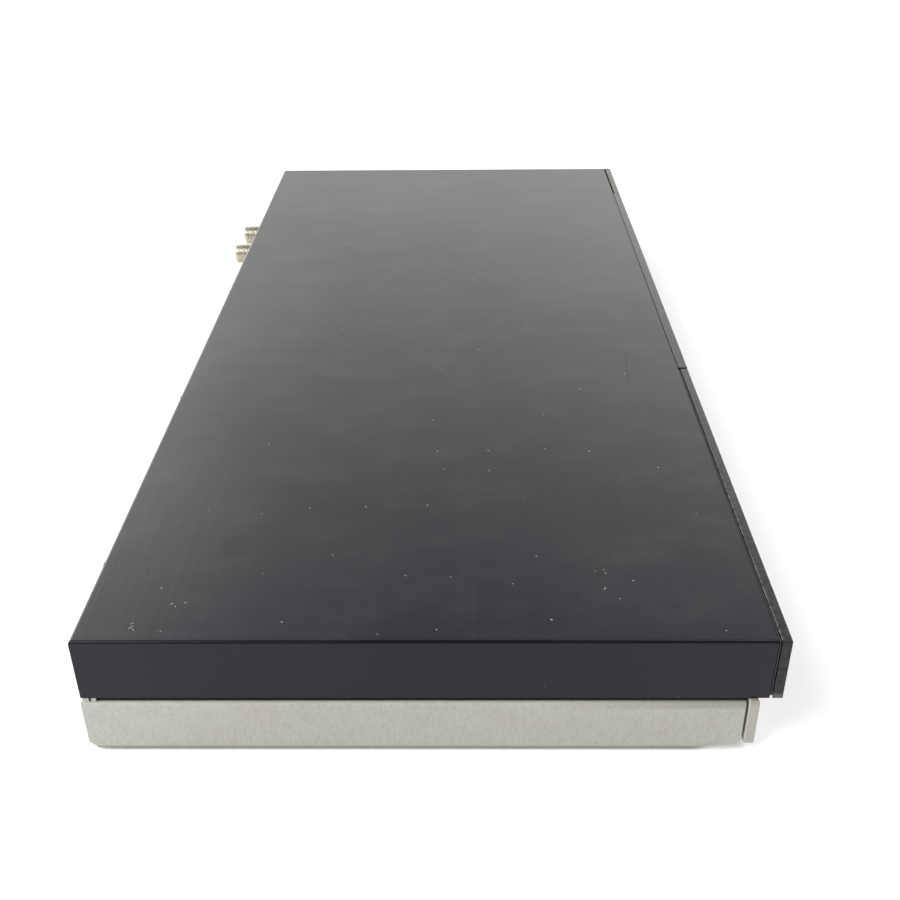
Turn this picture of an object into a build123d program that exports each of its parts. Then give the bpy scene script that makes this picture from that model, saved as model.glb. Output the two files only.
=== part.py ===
# Slim disc recorder with a hard disk, in millimetres.
# +Z is up and the front looks along -Y. The origin is on the floor, below the middle of the outline.
# The disc drive is at the user's left, the hard disk in the middle, the boards at the right.
from build123d import *
import math
import os

os.makedirs("parts", exist_ok=True)

# Case
case_width = 430.0
body_depth = 194.0
jack_reach = 11.0
foot_height = 1.0
foot_radius = 9.0
base_side_height = 16.8
base_sheet = 1.0
base_shoulder_radius = 0.9
base_rear_cut = 2.4
base_front_setback = 9.9
base_front_cut = 1.2
base_raise = 1.9
rail_offset = 2.9
rail_height = 12.0
tab_ends = ((0.5, 2.2), (2.9, 4.2))
foot_end_inset = 25.0
foot_front_inset = 36.5
foot_rear_inset = 15.5
floor_vent_count = 9
floor_vent_pitch = 9.0
floor_vent_start = 18.0
floor_vent_size = (2.4, 42.0)
floor_vent_inset = 34.0
ramp_setback = 19.2
ramp_length = 3.0
seam_gap = 1.25
cover_side_height = 20.05
cover_inset = 0.8
cover_sheet = 0.8
cover_bend_radius = 0.9
cover_skirt_height = 6.0
cover_screw_drop = 4.0
cover_screw_hole = 1.3
cover_screw_head = 1.9
cover_screw_reach = 1.0
cover_screw_slot = 0.6
cover_screw_inset = 39.0
cover_screw_back = 8.8
contact_gap = 0.3
slip_gap = 0.05

# Front
panel_thickness = 2.8
panel_edge_radius = 0.25
seam_width = 0.9
bezel_length = 162.0
split_width = 1.2
frame_thickness = 2.2
frame_lip = 0.35
frame_soffit = 1.2
frame_tongue_inset = 7.0
strip_setback = 6.2
strip_thickness = 2.85
strip_raise = 1.95
strip_corner_radius = 1.2
flap_length = 45.6
flap_end_gap = 0.35
flap_cheek = 1.4
flap_pin_radius = 0.7
flap_pin_length = 1.4
button_length = 12.0
button_height = 4.5
button_travel = 0.7
button_flange = 1.0
button_flange_thickness = 0.8
button_stem_radius = 1.3
button_z = 29.2
power_button_place = 15.0
eject_button_place = 33.0
window_length = 88.0
window_height = 10.0
window_depth = 1.5
window_ledge = 1.5
window_place = 97.0
window_z = 31.0

# Rear
rear_sheet = 0.8
rear_lip_height = 5.0
socket_panel_gap = 0.3
antenna_inset = 95.4
antenna_pitch_x = 27.8
antenna_pitch_z = 14.8
antenna_top_drop = 11.3
antenna_radius = 4.75
antenna_collar_radius = 5.0
antenna_collar_reach = 0.2
antenna_bore_radius = 0.6
antenna_hole_radius = 5.1
antenna_block_length = 43.0
antenna_block_depth = 24.0
inlet_inset = 27.0
inlet_length = 20.0
inlet_height = 12.0
inlet_depth = 15.0
inlet_mouth_length = 14.6
inlet_mouth_height = 8.0
inlet_mouth_depth = 11.0
inlet_pin_radius = 1.2
inlet_pin_pitch = 8.6
lan_inset = 63.0
lan_length = 15.9
lan_height = 13.4
lan_depth = 21.0
hdmi_inset = 126.5
hdmi_length = 15.0
hdmi_height = 6.4
hdmi_depth = 11.0
optical_inset = 141.0
optical_length = 9.8
optical_height = 9.8
optical_depth = 13.5
av_inset = 154.0
av_length = 6.6
av_height = 7.0
av_depth = 12.0
av_bore_radius = 1.85
av_nose_radius = 2.9

# Fan
fan_offset = -3.8
fan_size = 30.0
fan_lift = 4.0
fan_depth = 10.0
fan_bore_radius = 13.6
fan_tip_radius = 13.0
fan_hub_radius = 7.0
fan_shaft_radius = 1.0
fan_blades = 7
fan_strut = 1.6
fan_back = 1.0
fan_blade_chord = 11.0
fan_blade_thickness = 1.1
fan_blade_angle = 38.0
fan_hole_inset = 3.0
fan_hole_radius = 1.5
grille_count = 9
grille_pitch = 2.7
grille_slot = 1.7
grille_margin = 1.2
side_vent_counts = {-1: 12, 1: 6}
side_vent_pitch = 5.0
side_vent_start = 28.0
side_vent_size = (2.2, 18.0)

# Boards
board_thickness = 1.6
standoff_height = 6.0
standoff_radius = 3.0
standoff_inset = 5.0
main_rear_inset = 26.0
power_rear_inset = 22.0
screw_head_radius = 2.7
screw_head_height = 1.6
board_rear_gap = 1.7
board_side_gap = 2.5
main_board_gap = 6.4
main_board_depth = 122.0
power_board_inset = 6.0
power_board_length = 46.0
power_board_depth = 132.0
chip_height = 1.4
main_chip_offset = -8.0
main_chip_place = 38.0
main_chip_size = 27.0
# Chips and connectors: place from the left end, or from the right end if below 0, place from the
# front edge, length, width and height
board_chip_sizes = [
    (-28.25, 46.0, 14.0, 12.0, 1.2),
    (-28.25, 28.0, 14.0, 12.0, 1.2),
    (46.25, 68.0, 20.0, 14.0, 1.4),
    (-32.25, 70.0, 9.0, 9.0, 1.0),
    (18.25, 12.0, 12.0, 8.0, 5.0),
    (52.25, 9.0, 30.0, 6.0, 6.0),
    (-16.25, 14.0, 8.0, 18.0, 7.0),
    (13.25, 86.0, 8.0, 10.0, 3.0),
]
can_count = 5
can_pitch = 9.0
can_inset = 12.25
can_place = 44.0
can_height = 8.0
can_radius = 3.0
main_sink_size = 34.0
main_sink_height = 14.0
main_sink_fins = 8
main_sink_fin = 1.2
transformer_size = (22.0, 26.0, 20.0)
transformer_place = 56.0
transformer_offset = -6.0
capacitor_place = 88.0
power_sink_place = 50.0
capacitor_radius = 8.0
capacitor_height = 25.0
power_sink_length = 50.0
power_sink_height = 22.0
power_sink_thickness = 2.0

# Front sockets
front_board_z = 29.6
front_board_thickness = 1.2
front_board_inset = 4.0
front_board_length = 43.0
front_board_depth = 36.0
usb_inset = 35.0
usb_length = 14.5
usb_height = 7.0
usb_depth = 14.0
card_inset = 25.0
card_length = 30.0
card_height = 4.4
card_depth = 28.0
card_slot_length = 24.6
card_slot_height = 2.7
key_board_place = 4.0
key_board_length = 145.0
key_board_z = (21.4, 37.2)
key_board_setback = 7.9
key_board_thickness = 1.2
key_switch_size = 6.0
key_switch_reach = 1.3
key_post_inset = 2.2
key_post_radius = 1.8
display_length = 84.0
display_height = 8.4
display_depth = 2.3

# Hard disk
disk_width = 101.6
disk_length = 147.0
disk_height = 26.1
disk_gap = 9.2
disk_setback = 18.5
disk_lid_thickness = 1.4
disk_lid_inset = 1.5
disk_skirt = 2.2
disk_board_thickness = 1.2
cradle_sheet = 1.0
cradle_lift = 2.0
cradle_pad = 1.0
cradle_wall_height = 16.0
cradle_leg_radius = 4.0

# Disc drive
drive_width = 144.0
drive_setback = 11.3
drive_depth = 165.2
drive_lift = 2.0
drive_floor = 1.5
drive_wall = 2.0
drive_wall_height = 27.0
drive_front_bevel = 1.2
floor_window_half = 30.0
drive_lid_sheet = 1.0
drive_lid_flange = 7.0
drive_board_thickness = 1.2
cable_thickness = 0.3
cable_place = 46.0
cable_width = 20.0
disc_radius = 60.0
disc_thickness = 1.2
disc_place = 65.2
disc_clearance = 0.75
small_disc_radius = 40.75
disc_recess_depth = 1.8
small_recess_depth = 0.6
tray_travel = 138.0
tray_half_width = 66.5
tray_z = 23.5
tray_thickness = 3.5
tray_wall_height = 11.5
tray_window_half = 22.0
guide_depth = 7.5
guide_thickness = 1.7
guide_rib = 3.2
hold_count = 4
hold_length = 10.0
hold_inset = 20.0
hold_thickness = 1.2

# Loading train
gear_module = 0.8
gear_teeth = 28
pinion_teeth = 17
tooth_backlash = 0.12
gear_band = 2.3
gear_hub_height = 3.0
rack_x = 52.0
rack_drop = 2.7
rack_back = 4.5
rack_end = 4.0
gear_place = 13.2
gear_post_radius = 2.0
pulley_post_radius = 1.5
pulley_z = 16.0
pulley_band = 3.0
belt_groove_radius = 8.0
motor_groove_radius = 2.0
pulley_flange = 1.0
belt_width = 1.2
belt_span = 31.8
loading_motor_radius = 10.5
motor_shaft_radius = 1.0

# Traverse
traverse_z = 12.0
traverse_sheet = 1.2
traverse_half_width = 42.0
traverse_front = -22.0
traverse_rear = 92.0
damper_radius = 4.0
damper_height = 3.0
damper_x = 37.0
damper_places = (-16.0, 87.0)
spindle_radius = 12.5
spindle_height = 6.3
spindle_shaft_radius = 1.0
seat_radius = 14.5
seat_thickness = 2.0
seat_lift = 2.2
hub_radius = 7.3
hub_height = 2.2
clamp_radius = 15.0
clamp_thickness = 1.8
clamp_neck_radius = 11.0
clamp_flange_radius = 14.0
clamp_flange_thickness = 1.4
rod_radius = 1.5
rod_z = 17.0
rod_offsets = (-30.0, 26.0)
rod_block = 7.0
rod_front = (13.0, 16.5)
rod_end = 4.0
sled_front = 17.0
sled_length = 24.0
sled_z = (14.5, 21.5)
sled_travel = 35.0
lens_place = 24.0
lens_base = 12.0
lens_radius = 2.6
lens_mount_radius = 4.6
lens_mount_height = 2.2
lens_height = 1.5
lens_gap = 0.5
screw_offset = 34.0
screw_radius = 1.5
screw_journal_radius = 1.0
nut_length = 12.0
nut_size = 8.0
sled_motor_radius = 3.8
sled_motor_length = 15.0

# Places that follow from the sizes above
front_y = -(body_depth + jack_reach) / 2
rear_y = front_y + body_depth
jack_y = rear_y + jack_reach
base_x = case_width / 2
base_z = foot_height
floor_z = base_z + base_sheet
base_top_z = base_z + base_side_height
base_front_y = front_y + base_front_setback
cover_x = base_x - cover_inset
cover_inner_x = cover_x - cover_sheet
cover_z = base_top_z + seam_gap
top_z = cover_z + cover_side_height
cover_inner_z = top_z - cover_sheet
panel_back_y = front_y + panel_thickness
cover_front_y = panel_back_y + seam_width
frame_front_y = panel_back_y + contact_gap
frame_back_y = frame_front_y + frame_thickness
frame_x = cover_inner_x - contact_gap
strip_front_y = front_y + strip_setback
strip_back_y = strip_front_y + strip_thickness
bezel_end_x = -cover_x + bezel_length
panel_start_x = bezel_end_x + split_width
flap_end_x = cover_x - flap_cheek - flap_end_gap
flap_start_x = flap_end_x - flap_length
panel_end_x = flap_start_x - flap_end_gap
flap_pivot_y = front_y + panel_thickness / 2
flap_pivot_z = cover_z + panel_thickness / 2
panel_out_y = rear_y - base_sheet
panel_in_y = panel_out_y - rear_sheet
board_z = floor_z + standoff_height
board_top_z = board_z + board_thickness
drive_x = -cover_x + bezel_length / 2
drive_end_x = drive_x + drive_width / 2
drive_front_y = front_y + drive_setback
drive_rear_y = drive_front_y + drive_depth
disc_y = drive_front_y + disc_place
gear_y = drive_front_y + gear_place
traverse_front_y = disc_y + traverse_front
traverse_rear_y = disc_y + traverse_rear
damper_y = [disc_y + place for place in damper_places]
rod_front_y = [disc_y + place for place in rod_front]
sled_front_y = disc_y + sled_front
lens_y = disc_y + lens_place
disk_x = drive_end_x + disk_gap + disk_width / 2
disk_front_y = front_y + disk_setback
power_board_x = (base_x - power_board_inset - power_board_length, base_x - power_board_inset)
main_board_x = (disk_x + disk_width / 2 + main_board_gap, power_board_x[0] - board_side_gap)
board_rear_y = panel_in_y - board_rear_gap
main_board_y = (board_rear_y - main_board_depth, board_rear_y)
power_board_y = (board_rear_y - power_board_depth, board_rear_y)
main_chip_x = (main_board_x[0] + main_board_x[1]) / 2 + main_chip_offset
main_chip_y = main_board_y[0] + main_chip_place
inlet_x = base_x - inlet_inset
lan_x = base_x - lan_inset
antenna_x = base_x - antenna_inset
hdmi_x = base_x - hdmi_inset
optical_x = base_x - optical_inset
av_x = base_x - av_inset
socket_panel_x = (av_x + av_length / 2 + optical_x - optical_length / 2) / 2
usb_x = base_x - usb_inset
card_x = base_x - card_inset
front_board_x = (base_x - front_board_inset - front_board_length, base_x - front_board_inset)
fan_x = disk_x + fan_offset
window_x = panel_start_x + window_place
key_board_x = (panel_start_x + key_board_place, panel_start_x + key_board_place + key_board_length)
foot_x = base_x - foot_end_inset
foot_ys = (front_y + foot_front_inset, rear_y - foot_rear_inset)
drive_z = floor_z + drive_lift
drive_top_z = drive_z + drive_wall_height
drive_deck_z = drive_z + drive_floor
wall_inner = drive_width / 2 - drive_wall
tray_top_z = tray_z + tray_thickness
gear_radius = gear_module * gear_teeth / 2
pinion_radius = gear_module * pinion_teeth / 2
gear_x = drive_x + rack_x - gear_radius
pulley_x = gear_x - gear_radius - pinion_radius
motor_x = pulley_x - belt_span
gear_top_z = tray_z - contact_gap
gear_low_z = gear_top_z - gear_band
traverse_top_z = traverse_z + traverse_sheet
seat_z = tray_top_z - disc_recess_depth + seat_lift
clamp_z = seat_z + disc_thickness + 0.1
antenna_xs = [antenna_x - antenna_pitch_x / 2, antenna_x + antenna_pitch_x / 2]
antenna_zs = [top_z - antenna_top_drop, top_z - antenna_top_drop - antenna_pitch_z]
main_standoffs = [
    (x, y) for x in (main_board_x[0] + standoff_inset, main_board_x[1] - standoff_inset)
    for y in (main_board_y[0] + standoff_inset, main_board_y[1] - main_rear_inset)]
power_standoffs = [
    (x, y) for x in (power_board_x[0] + standoff_inset, power_board_x[1] - standoff_inset)
    for y in (power_board_y[0] + standoff_inset, power_board_y[1] - power_rear_inset)]
cradle_z = floor_z + cradle_lift
disk_z = cradle_z + cradle_sheet + cradle_pad
disk_rear_y = disk_front_y + disk_length
disk_top_z = disk_z + disk_height
gear_hub_z = gear_low_z - gear_hub_height
tray_rear_y = gear_y + tray_travel + rack_end
sled_end_y = sled_front_y + sled_length + sled_travel
rod_rear_y = (sled_end_y + rod_end, sled_end_y + 2 * rod_end)
cover_screw_xs = [cover_screw_inset - base_x, drive_end_x - cover_screw_back, base_x - cover_screw_inset]
cover_screw_z = top_z - cover_screw_drop
front_board_rear_y = frame_back_y + front_board_depth
front_board_posts = [front_board_x[0] + 4, front_board_x[1] - 4]
key_board_y = front_y + key_board_setback
switch_front_y = key_board_y - key_switch_reach
key_post_xs = [
    key_board_x[0] + key_post_inset, window_x - window_length / 2 - 3.5, key_board_x[1] - key_post_inset]
key_post_zs = [key_board_z[0] + key_post_inset, key_board_z[1] - key_post_inset]
fan_z = floor_z + fan_lift + fan_size / 2
button_xs = {
    "power_button": panel_start_x + power_button_place, "eject_button": panel_start_x + eject_button_place}


def block(x0, x1, y0, y1, z0, z1):
    """A box between two corners."""
    return Pos((x0 + x1) / 2, (y0 + y1) / 2, (z0 + z1) / 2) * Box(x1 - x0, y1 - y0, z1 - z0)


def post(x, y, z0, z1, radius):
    """A round bar that stands along Z."""
    return Pos(x, y, (z0 + z1) / 2) * Cylinder(radius, z1 - z0)


def bar_y(x, z, y0, y1, radius):
    """A round bar that lies along Y."""
    return Pos(x, (y0 + y1) / 2, z) * Rot(90, 0, 0) * Cylinder(radius, y1 - y0)


def bar_x(y, z, x0, x1, radius):
    """A round bar that lies along X."""
    return Pos((x0 + x1) / 2, y, z) * Rot(0, 90, 0) * Cylinder(radius, x1 - x0)


def side_shape(points, half_width):
    """A side view, given as (y, z) points, made solid over a width centred on X."""
    face = Plane.YZ * Polygon(*points, align=None)
    return extrude(face, amount=half_width, both=True)


def mirrored(shape):
    """A shape with its copy on the other side of X = 0."""
    return shape + mirror(shape, about=Plane.YZ)


def tooth_profile(teeth, radius_module, backlash):
    """Involute outline of a spur gear about the origin, one tooth centred on +X."""
    pitch_r = radius_module * teeth / 2
    base_r = pitch_r * math.cos(math.radians(20))
    tip_r = pitch_r + 0.8 * radius_module
    root_r = pitch_r - 1.1 * radius_module
    start_r = max(base_r, root_r)
    half_tooth = math.pi / (2 * teeth) - backlash / (2 * pitch_r)
    roll_at_pitch = math.tan(math.radians(20)) - math.radians(20)
    flank = []
    steps = 4
    for i in range(steps + 1):
        r = start_r + (tip_r - start_r) * i / steps
        turn = math.acos(min(1.0, base_r / r))
        flank.append((r, half_tooth + roll_at_pitch - (math.tan(turn) - turn)))
    low = (root_r, flank[0][1])
    outline = []
    for k in range(teeth):
        middle = 2 * math.pi * k / teeth
        for r, a in [low] + flank:
            outline.append((r * math.cos(middle - a), r * math.sin(middle - a)))
        for r, a in reversed([low] + flank):
            outline.append((r * math.cos(middle + a), r * math.sin(middle + a)))
    return outline


def spur_gear(teeth, x, y, z0, z1, turn=0.0):
    """A spur gear that stands on Z, turned by an angle in degrees."""
    face = Polygon(*tooth_profile(teeth, gear_module, tooth_backlash), align=None)
    return Pos(x, y, z0) * Rot(0, 0, turn) * extrude(face, amount=z1 - z0)


def top_cover():
    outer = block(-cover_x, cover_x, cover_front_y, rear_y, cover_z, top_z)
    bends = outer.edges().filter_by(Axis.Y).group_by(Axis.Z)[-1]
    bends += outer.edges().filter_by(Axis.X).group_by(Axis.Z)[-1].sort_by(Axis.Y)[-1:]
    outer = fillet(bends, cover_bend_radius)
    inner = block(
        -cover_inner_x, cover_inner_x, cover_front_y - 1, rear_y - cover_sheet, cover_z - 1,
        cover_inner_z)
    behind = block(
        -cover_inner_x, cover_inner_x, rear_y - cover_sheet - 1, rear_y + 1,
        cover_z - 1, top_z - cover_skirt_height)
    body = outer - inner - behind
    for x in cover_screw_xs:
        body -= bar_y(x, cover_screw_z, rear_y - cover_sheet - 1, rear_y + 1, cover_screw_hole)
    return body


def cover_screws():
    """Screws through the cover's rear skirt into the rear panel."""
    group = []
    for x in cover_screw_xs:
        head = bar_y(x, cover_screw_z, rear_y, rear_y + cover_screw_reach, cover_screw_head)
        y0 = rear_y + cover_screw_reach - cover_screw_slot
        slot = block(x - 1.3, x + 1.3, y0, rear_y + 3, cover_screw_z - 0.3, cover_screw_z + 0.3)
        cross = block(x - 0.3, x + 0.3, y0, rear_y + 3, cover_screw_z - 1.3, cover_screw_z + 1.3)
        shank = bar_y(x, cover_screw_z, panel_in_y - 3, rear_y, cover_screw_hole - slip_gap)
        group.append(head + shank - slot - cross)
    return Compound(children=group)


def base_outline(inset):
    """Side view of the base: its rear lower corner is cut and its front end is raised."""
    y0 = base_front_y + inset
    y1 = rear_y - inset
    low = base_z + inset
    high = low + base_raise
    ramp_y = front_y + ramp_setback
    return [
        (y0 + base_front_cut, high), (ramp_y, high), (ramp_y + ramp_length, low), (y1 - base_rear_cut, low),
        (y1, low + base_rear_cut), (y1, base_top_z), (y0, base_top_z), (y0, high + base_front_cut),
    ]


def base_chassis():
    """The grey pan: floor, three walls, inward top flanges and the upright rails inside the cover."""
    outer = side_shape(base_outline(0.0), base_x)
    shoulders = outer.edges().filter_by(Axis.Y).group_by(Axis.Z)[-1]
    outer = fillet(shoulders, base_shoulder_radius)
    low_part = side_shape(base_outline(base_sheet), base_x - base_sheet)
    low_part &= block(-base_x, base_x, front_y, rear_y, 0, base_top_z - base_sheet)
    inner_x = base_x - rail_offset - base_sheet
    mouth = block(
        -inner_x, inner_x, base_front_y + base_sheet, rear_y - base_sheet, base_top_z - 3,
        base_top_z + 1)
    open_x = base_x - base_sheet
    back = block(
        -open_x, open_x, panel_in_y - contact_gap, rear_y + 1, base_z + rear_lip_height, base_top_z + 1)
    body = outer - low_part - mouth - back
    body += block(
        inner_x, inner_x + base_sheet, base_front_y + 3, rear_y - 6,
        base_top_z - base_sheet, base_top_z + rail_height)
    body += block(
        -inner_x - base_sheet, -inner_x, base_front_y + 3, rear_y - 6,
        base_top_z - base_sheet, base_top_z + rail_height)
    for start, end in tab_ends:
        tab = block(
            cover_x - cover_sheet, cover_x + 0.1, rear_y - end, rear_y - start,
            base_top_z - base_sheet / 2, cover_z - 0.1)
        body += mirrored(tab)
    for x, y in main_standoffs + power_standoffs:
        body += post(x, y, floor_z - base_sheet / 2, board_z, standoff_radius)
    for x in front_board_posts:
        body += post(
            x, front_board_rear_y - 4, floor_z - base_sheet / 2, front_board_z, standoff_radius)
    width, length = floor_vent_size
    y = main_board_y[0] + floor_vent_inset
    for k in range(floor_vent_count):
        x = main_board_x[0] + floor_vent_start + k * floor_vent_pitch
        body -= block(x, x + width, y, y + length, base_z - 1, floor_z + 1)
    return body


def foot_pads():
    """Four rubber pads stuck under the pan."""
    group = []
    for x in (-foot_x, foot_x):
        for y in foot_ys:
            pad = post(x, y, 0, foot_height, foot_radius)
            group.append(chamfer(pad.edges().group_by(Axis.Z)[0], 0.3))
    return Compound(children=group)


def lower_front_strip():
    """Grey strip below the overhang, rounded along its top front edge."""
    low = base_z + strip_raise
    high = cover_z - contact_gap
    body = block(-base_x, base_x, strip_front_y, strip_back_y, low, high)
    top_edge = body.edges().filter_by(Axis.X).group_by(Axis.Z)[-1].sort_by(Axis.Y)[0]
    body = fillet(top_edge, strip_corner_radius)
    rear_ends = body.edges().filter_by(Axis.Z).group_by(Axis.Y)[-1]
    return chamfer(rear_ends, 0.4)


def front_frame():
    """Plastic frame behind the front pieces, with the tray's slot and the front sockets' holes."""
    body = block(-frame_x, frame_x, frame_front_y, frame_back_y, cover_z, cover_inner_z)
    lip_x = cover_x - 0.2
    body += block(
        -lip_x, bezel_end_x - 0.4, frame_front_y, frame_front_y + frame_lip, cover_z + 0.95,
        top_z - 0.2)
    body += block(-frame_x, frame_x, frame_front_y, base_front_y, cover_z, cover_z + frame_soffit)
    tongue_x = base_x - frame_tongue_inset
    body += block(
        -tongue_x, tongue_x, strip_back_y, base_front_y, base_z + strip_raise, cover_z + frame_soffit)
    slot_low = cover_z + frame_soffit + 0.15
    slot_high = tray_z + tray_wall_height + 1.6
    slot_half = tray_half_width + 1.0
    body -= block(
        drive_x - slot_half, drive_x + slot_half, front_y, frame_back_y + 1, slot_low, slot_high)
    body += block(
        flap_end_x + flap_end_gap, cover_x, front_y, frame_front_y + frame_lip, cover_z, top_z - 0.2)
    body -= bar_x(
        flap_pivot_y, flap_pivot_z, flap_end_x, flap_end_x + flap_end_gap + 1.2,
        flap_pin_radius + slip_gap)
    for x in button_xs.values():
        half_x = button_length / 2 + button_flange + 0.5
        half_z = button_height / 2 + button_flange + 0.5
        body -= block(
            x - half_x, x + half_x, front_y, frame_back_y + 1, button_z - half_z, button_z + half_z)
    half_x = window_length / 2 + 1
    half_z = window_height / 2
    body -= block(
        window_x - half_x, window_x + half_x, front_y, frame_back_y + 1, window_z - half_z,
        window_z + half_z)
    body -= block(
        usb_x - usb_length / 2 - 0.4, usb_x + usb_length / 2 + 0.4, frame_front_y - 1, frame_back_y + 1,
        front_board_z - usb_height - 0.4, front_board_z - contact_gap)
    slot_z = front_board_z + front_board_thickness
    body -= block(
        card_x - card_slot_length / 2 - 0.6, card_x + card_slot_length / 2 + 0.6,
        frame_front_y - 1, frame_back_y + 1,
        slot_z + 0.4, slot_z + card_height - 0.4)
    for x in key_post_xs:
        for z in key_post_zs:
            body += bar_y(x, z, frame_back_y - 0.5, key_board_y, key_post_radius)
    return body


def right_panel():
    """Fixed gloss panel of the front, with the window's pocket and the buttons' holes."""
    body = block(panel_start_x, panel_end_x, front_y, panel_back_y, cover_z, top_z)
    ledge_y = cover_front_y - contact_gap
    ledge = block(panel_start_x, panel_end_x, panel_back_y - 0.5, ledge_y, top_z - 0.5, top_z)
    corner = ledge.edges().filter_by(Axis.Z).sort_by(lambda e: e.center().X - e.center().Y)[0]
    body += fillet(corner, 0.5)
    for x in button_xs.values():
        half_x = button_length / 2 + 0.2
        half_z = button_height / 2 + 0.2
        body -= block(
            x - half_x, x + half_x, front_y - 1, panel_back_y + 1, button_z - half_z, button_z + half_z)
    half_x = window_length / 2
    half_z = window_height / 2
    body -= block(
        window_x - half_x, window_x + half_x, front_y - 1, front_y + window_depth,
        window_z - half_z, window_z + half_z)
    half_x -= window_ledge
    half_z -= window_ledge
    body -= block(
        window_x - half_x, window_x + half_x, front_y - 1, panel_back_y + 1,
        window_z - half_z, window_z + half_z)
    body -= bar_x(
        flap_pivot_y, flap_pivot_z, panel_end_x - flap_pin_length - 0.2, panel_end_x + 1,
        flap_pin_radius + slip_gap)
    for x in (panel_start_x + 6, button_xs["eject_button"] + 12, window_x + 58, panel_end_x - 8):
        body += bar_y(x, cover_z + 4.5, panel_back_y - 0.5, frame_front_y, 2.0)
    return body


def display_window():
    half_x = window_length / 2 - 0.1
    half_z = window_height / 2 - 0.1
    return block(
        window_x - half_x, window_x + half_x, front_y + 0.1, front_y + window_depth,
        window_z - half_z, window_z + half_z)


def flap_door():
    """Door over the front sockets, on two pins at its rounded bottom edge."""
    half = panel_thickness / 2
    body = block(flap_start_x, flap_end_x, front_y, panel_back_y, flap_pivot_z, top_z)
    body += bar_x(flap_pivot_y, flap_pivot_z, flap_start_x, flap_end_x, half)
    body += bar_x(
        flap_pivot_y, flap_pivot_z, flap_start_x - flap_pin_length, flap_end_x + flap_pin_length,
        flap_pin_radius)
    inner = block(
        flap_start_x + 2, flap_end_x - 2, panel_back_y - 0.9, panel_back_y + 1, flap_pivot_z + 3,
        top_z - 3)
    return body - inner


def front_button(x):
    """A button that slides in its hole, with a flange behind the panel and a stem to its switch."""
    half_x = button_length / 2
    half_z = button_height / 2
    cap = block(
        x - half_x, x + half_x, front_y + 0.1, panel_back_y + 0.3, button_z - half_z, button_z + half_z)
    cap = fillet(cap.edges().filter_by(Axis.Y), 0.6)
    wide_x = half_x + button_flange
    wide_z = half_z + button_flange
    flange_y = panel_back_y + slip_gap
    flange = block(
        x - wide_x, x + wide_x, flange_y, flange_y + button_flange_thickness,
        button_z - wide_z, button_z + wide_z)
    stem = bar_y(x, button_z, flange_y, switch_front_y - button_travel - 0.1, button_stem_radius)
    return cap + flange + stem


def key_board():
    """Upright board behind the front with its two switches."""
    body = block(
        key_board_x[0], key_board_x[1], key_board_y, key_board_y + key_board_thickness,
        key_board_z[0], key_board_z[1])
    half = key_switch_size / 2
    for x in button_xs.values():
        body += block(
            x - half, x + half, key_board_y - 0.9, key_board_y, button_z - half, button_z + half)
        body += bar_y(x, button_z, switch_front_y, key_board_y, 1.6)
    return body


def display_module():
    half_x = display_length / 2
    half_z = display_height / 2
    glass = block(
        window_x - half_x, window_x + half_x, key_board_y - display_depth, key_board_y,
        window_z - half_z, window_z + half_z)
    return fillet(glass.edges().filter_by(Axis.Y), 0.5)


def rear_sheet_part(x0, x1):
    """One of the two rear sheets, with the holes for the cover's screws."""
    body = block(
        x0, x1, panel_in_y, panel_out_y, base_z + base_sheet + base_rear_cut + 0.1, cover_inner_z)
    for x in cover_screw_xs:
        body -= bar_y(x, cover_screw_z, panel_in_y - 1, panel_out_y + 1, cover_screw_hole)
    return body


def socket_panel():
    """Rear sheet over the main and power boards, with the holes for their sockets."""
    body = rear_sheet_part(socket_panel_x + socket_panel_gap / 2, frame_x)
    for x in antenna_xs:
        for z in antenna_zs:
            body -= bar_y(x, z, panel_in_y - 1, panel_out_y + 1, antenna_hole_radius)
    for x, length, height, low in socket_places():
        body -= block(
            x - length / 2 - 0.15, x + length / 2 + 0.15, panel_in_y - 1, panel_out_y + 1,
            low - 0.15, low + height + 0.15)
    return body


def rear_panel():
    """Longer rear sheet, with the AV jack's hole, the fan's grille and the vents beside it."""
    body = rear_sheet_part(-frame_x, socket_panel_x - socket_panel_gap / 2)
    body -= bar_y(
        av_x, board_top_z + av_height / 2, panel_in_y - 1, panel_out_y + 1, av_nose_radius + 0.15)
    grille_radius = fan_bore_radius - grille_margin
    for k in range(grille_count):
        rise = (k - (grille_count - 1) / 2) * grille_pitch
        half = math.sqrt(grille_radius ** 2 - rise ** 2)
        z0 = fan_z + rise - grille_slot / 2
        body -= block(fan_x - half, fan_x + half, panel_in_y - 1, panel_out_y + 1, z0, z0 + grille_slot)
    width, height = side_vent_size
    for side in (-1, 1):
        for k in range(side_vent_counts[side]):
            x = fan_x + side * (side_vent_start + k * side_vent_pitch)
            body -= block(
                x - width / 2, x + width / 2, panel_in_y - 1, panel_out_y + 1,
                fan_z - height / 2, fan_z + height / 2)
    return body


def socket_places():
    """Centre, width, height and lowest point of each socket that looks out of the socket panel."""
    return [
        (inlet_x, inlet_length, inlet_height, board_top_z),
        (lan_x, lan_length, lan_height, board_top_z),
        (hdmi_x, hdmi_length, hdmi_height, board_top_z),
        (optical_x, optical_length, optical_height, board_top_z),
    ]


def socket_shell(x, length, height, depth):
    return block(
        x - length / 2, x + length / 2, panel_out_y - depth, panel_out_y, board_top_z, board_top_z + height)


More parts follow.
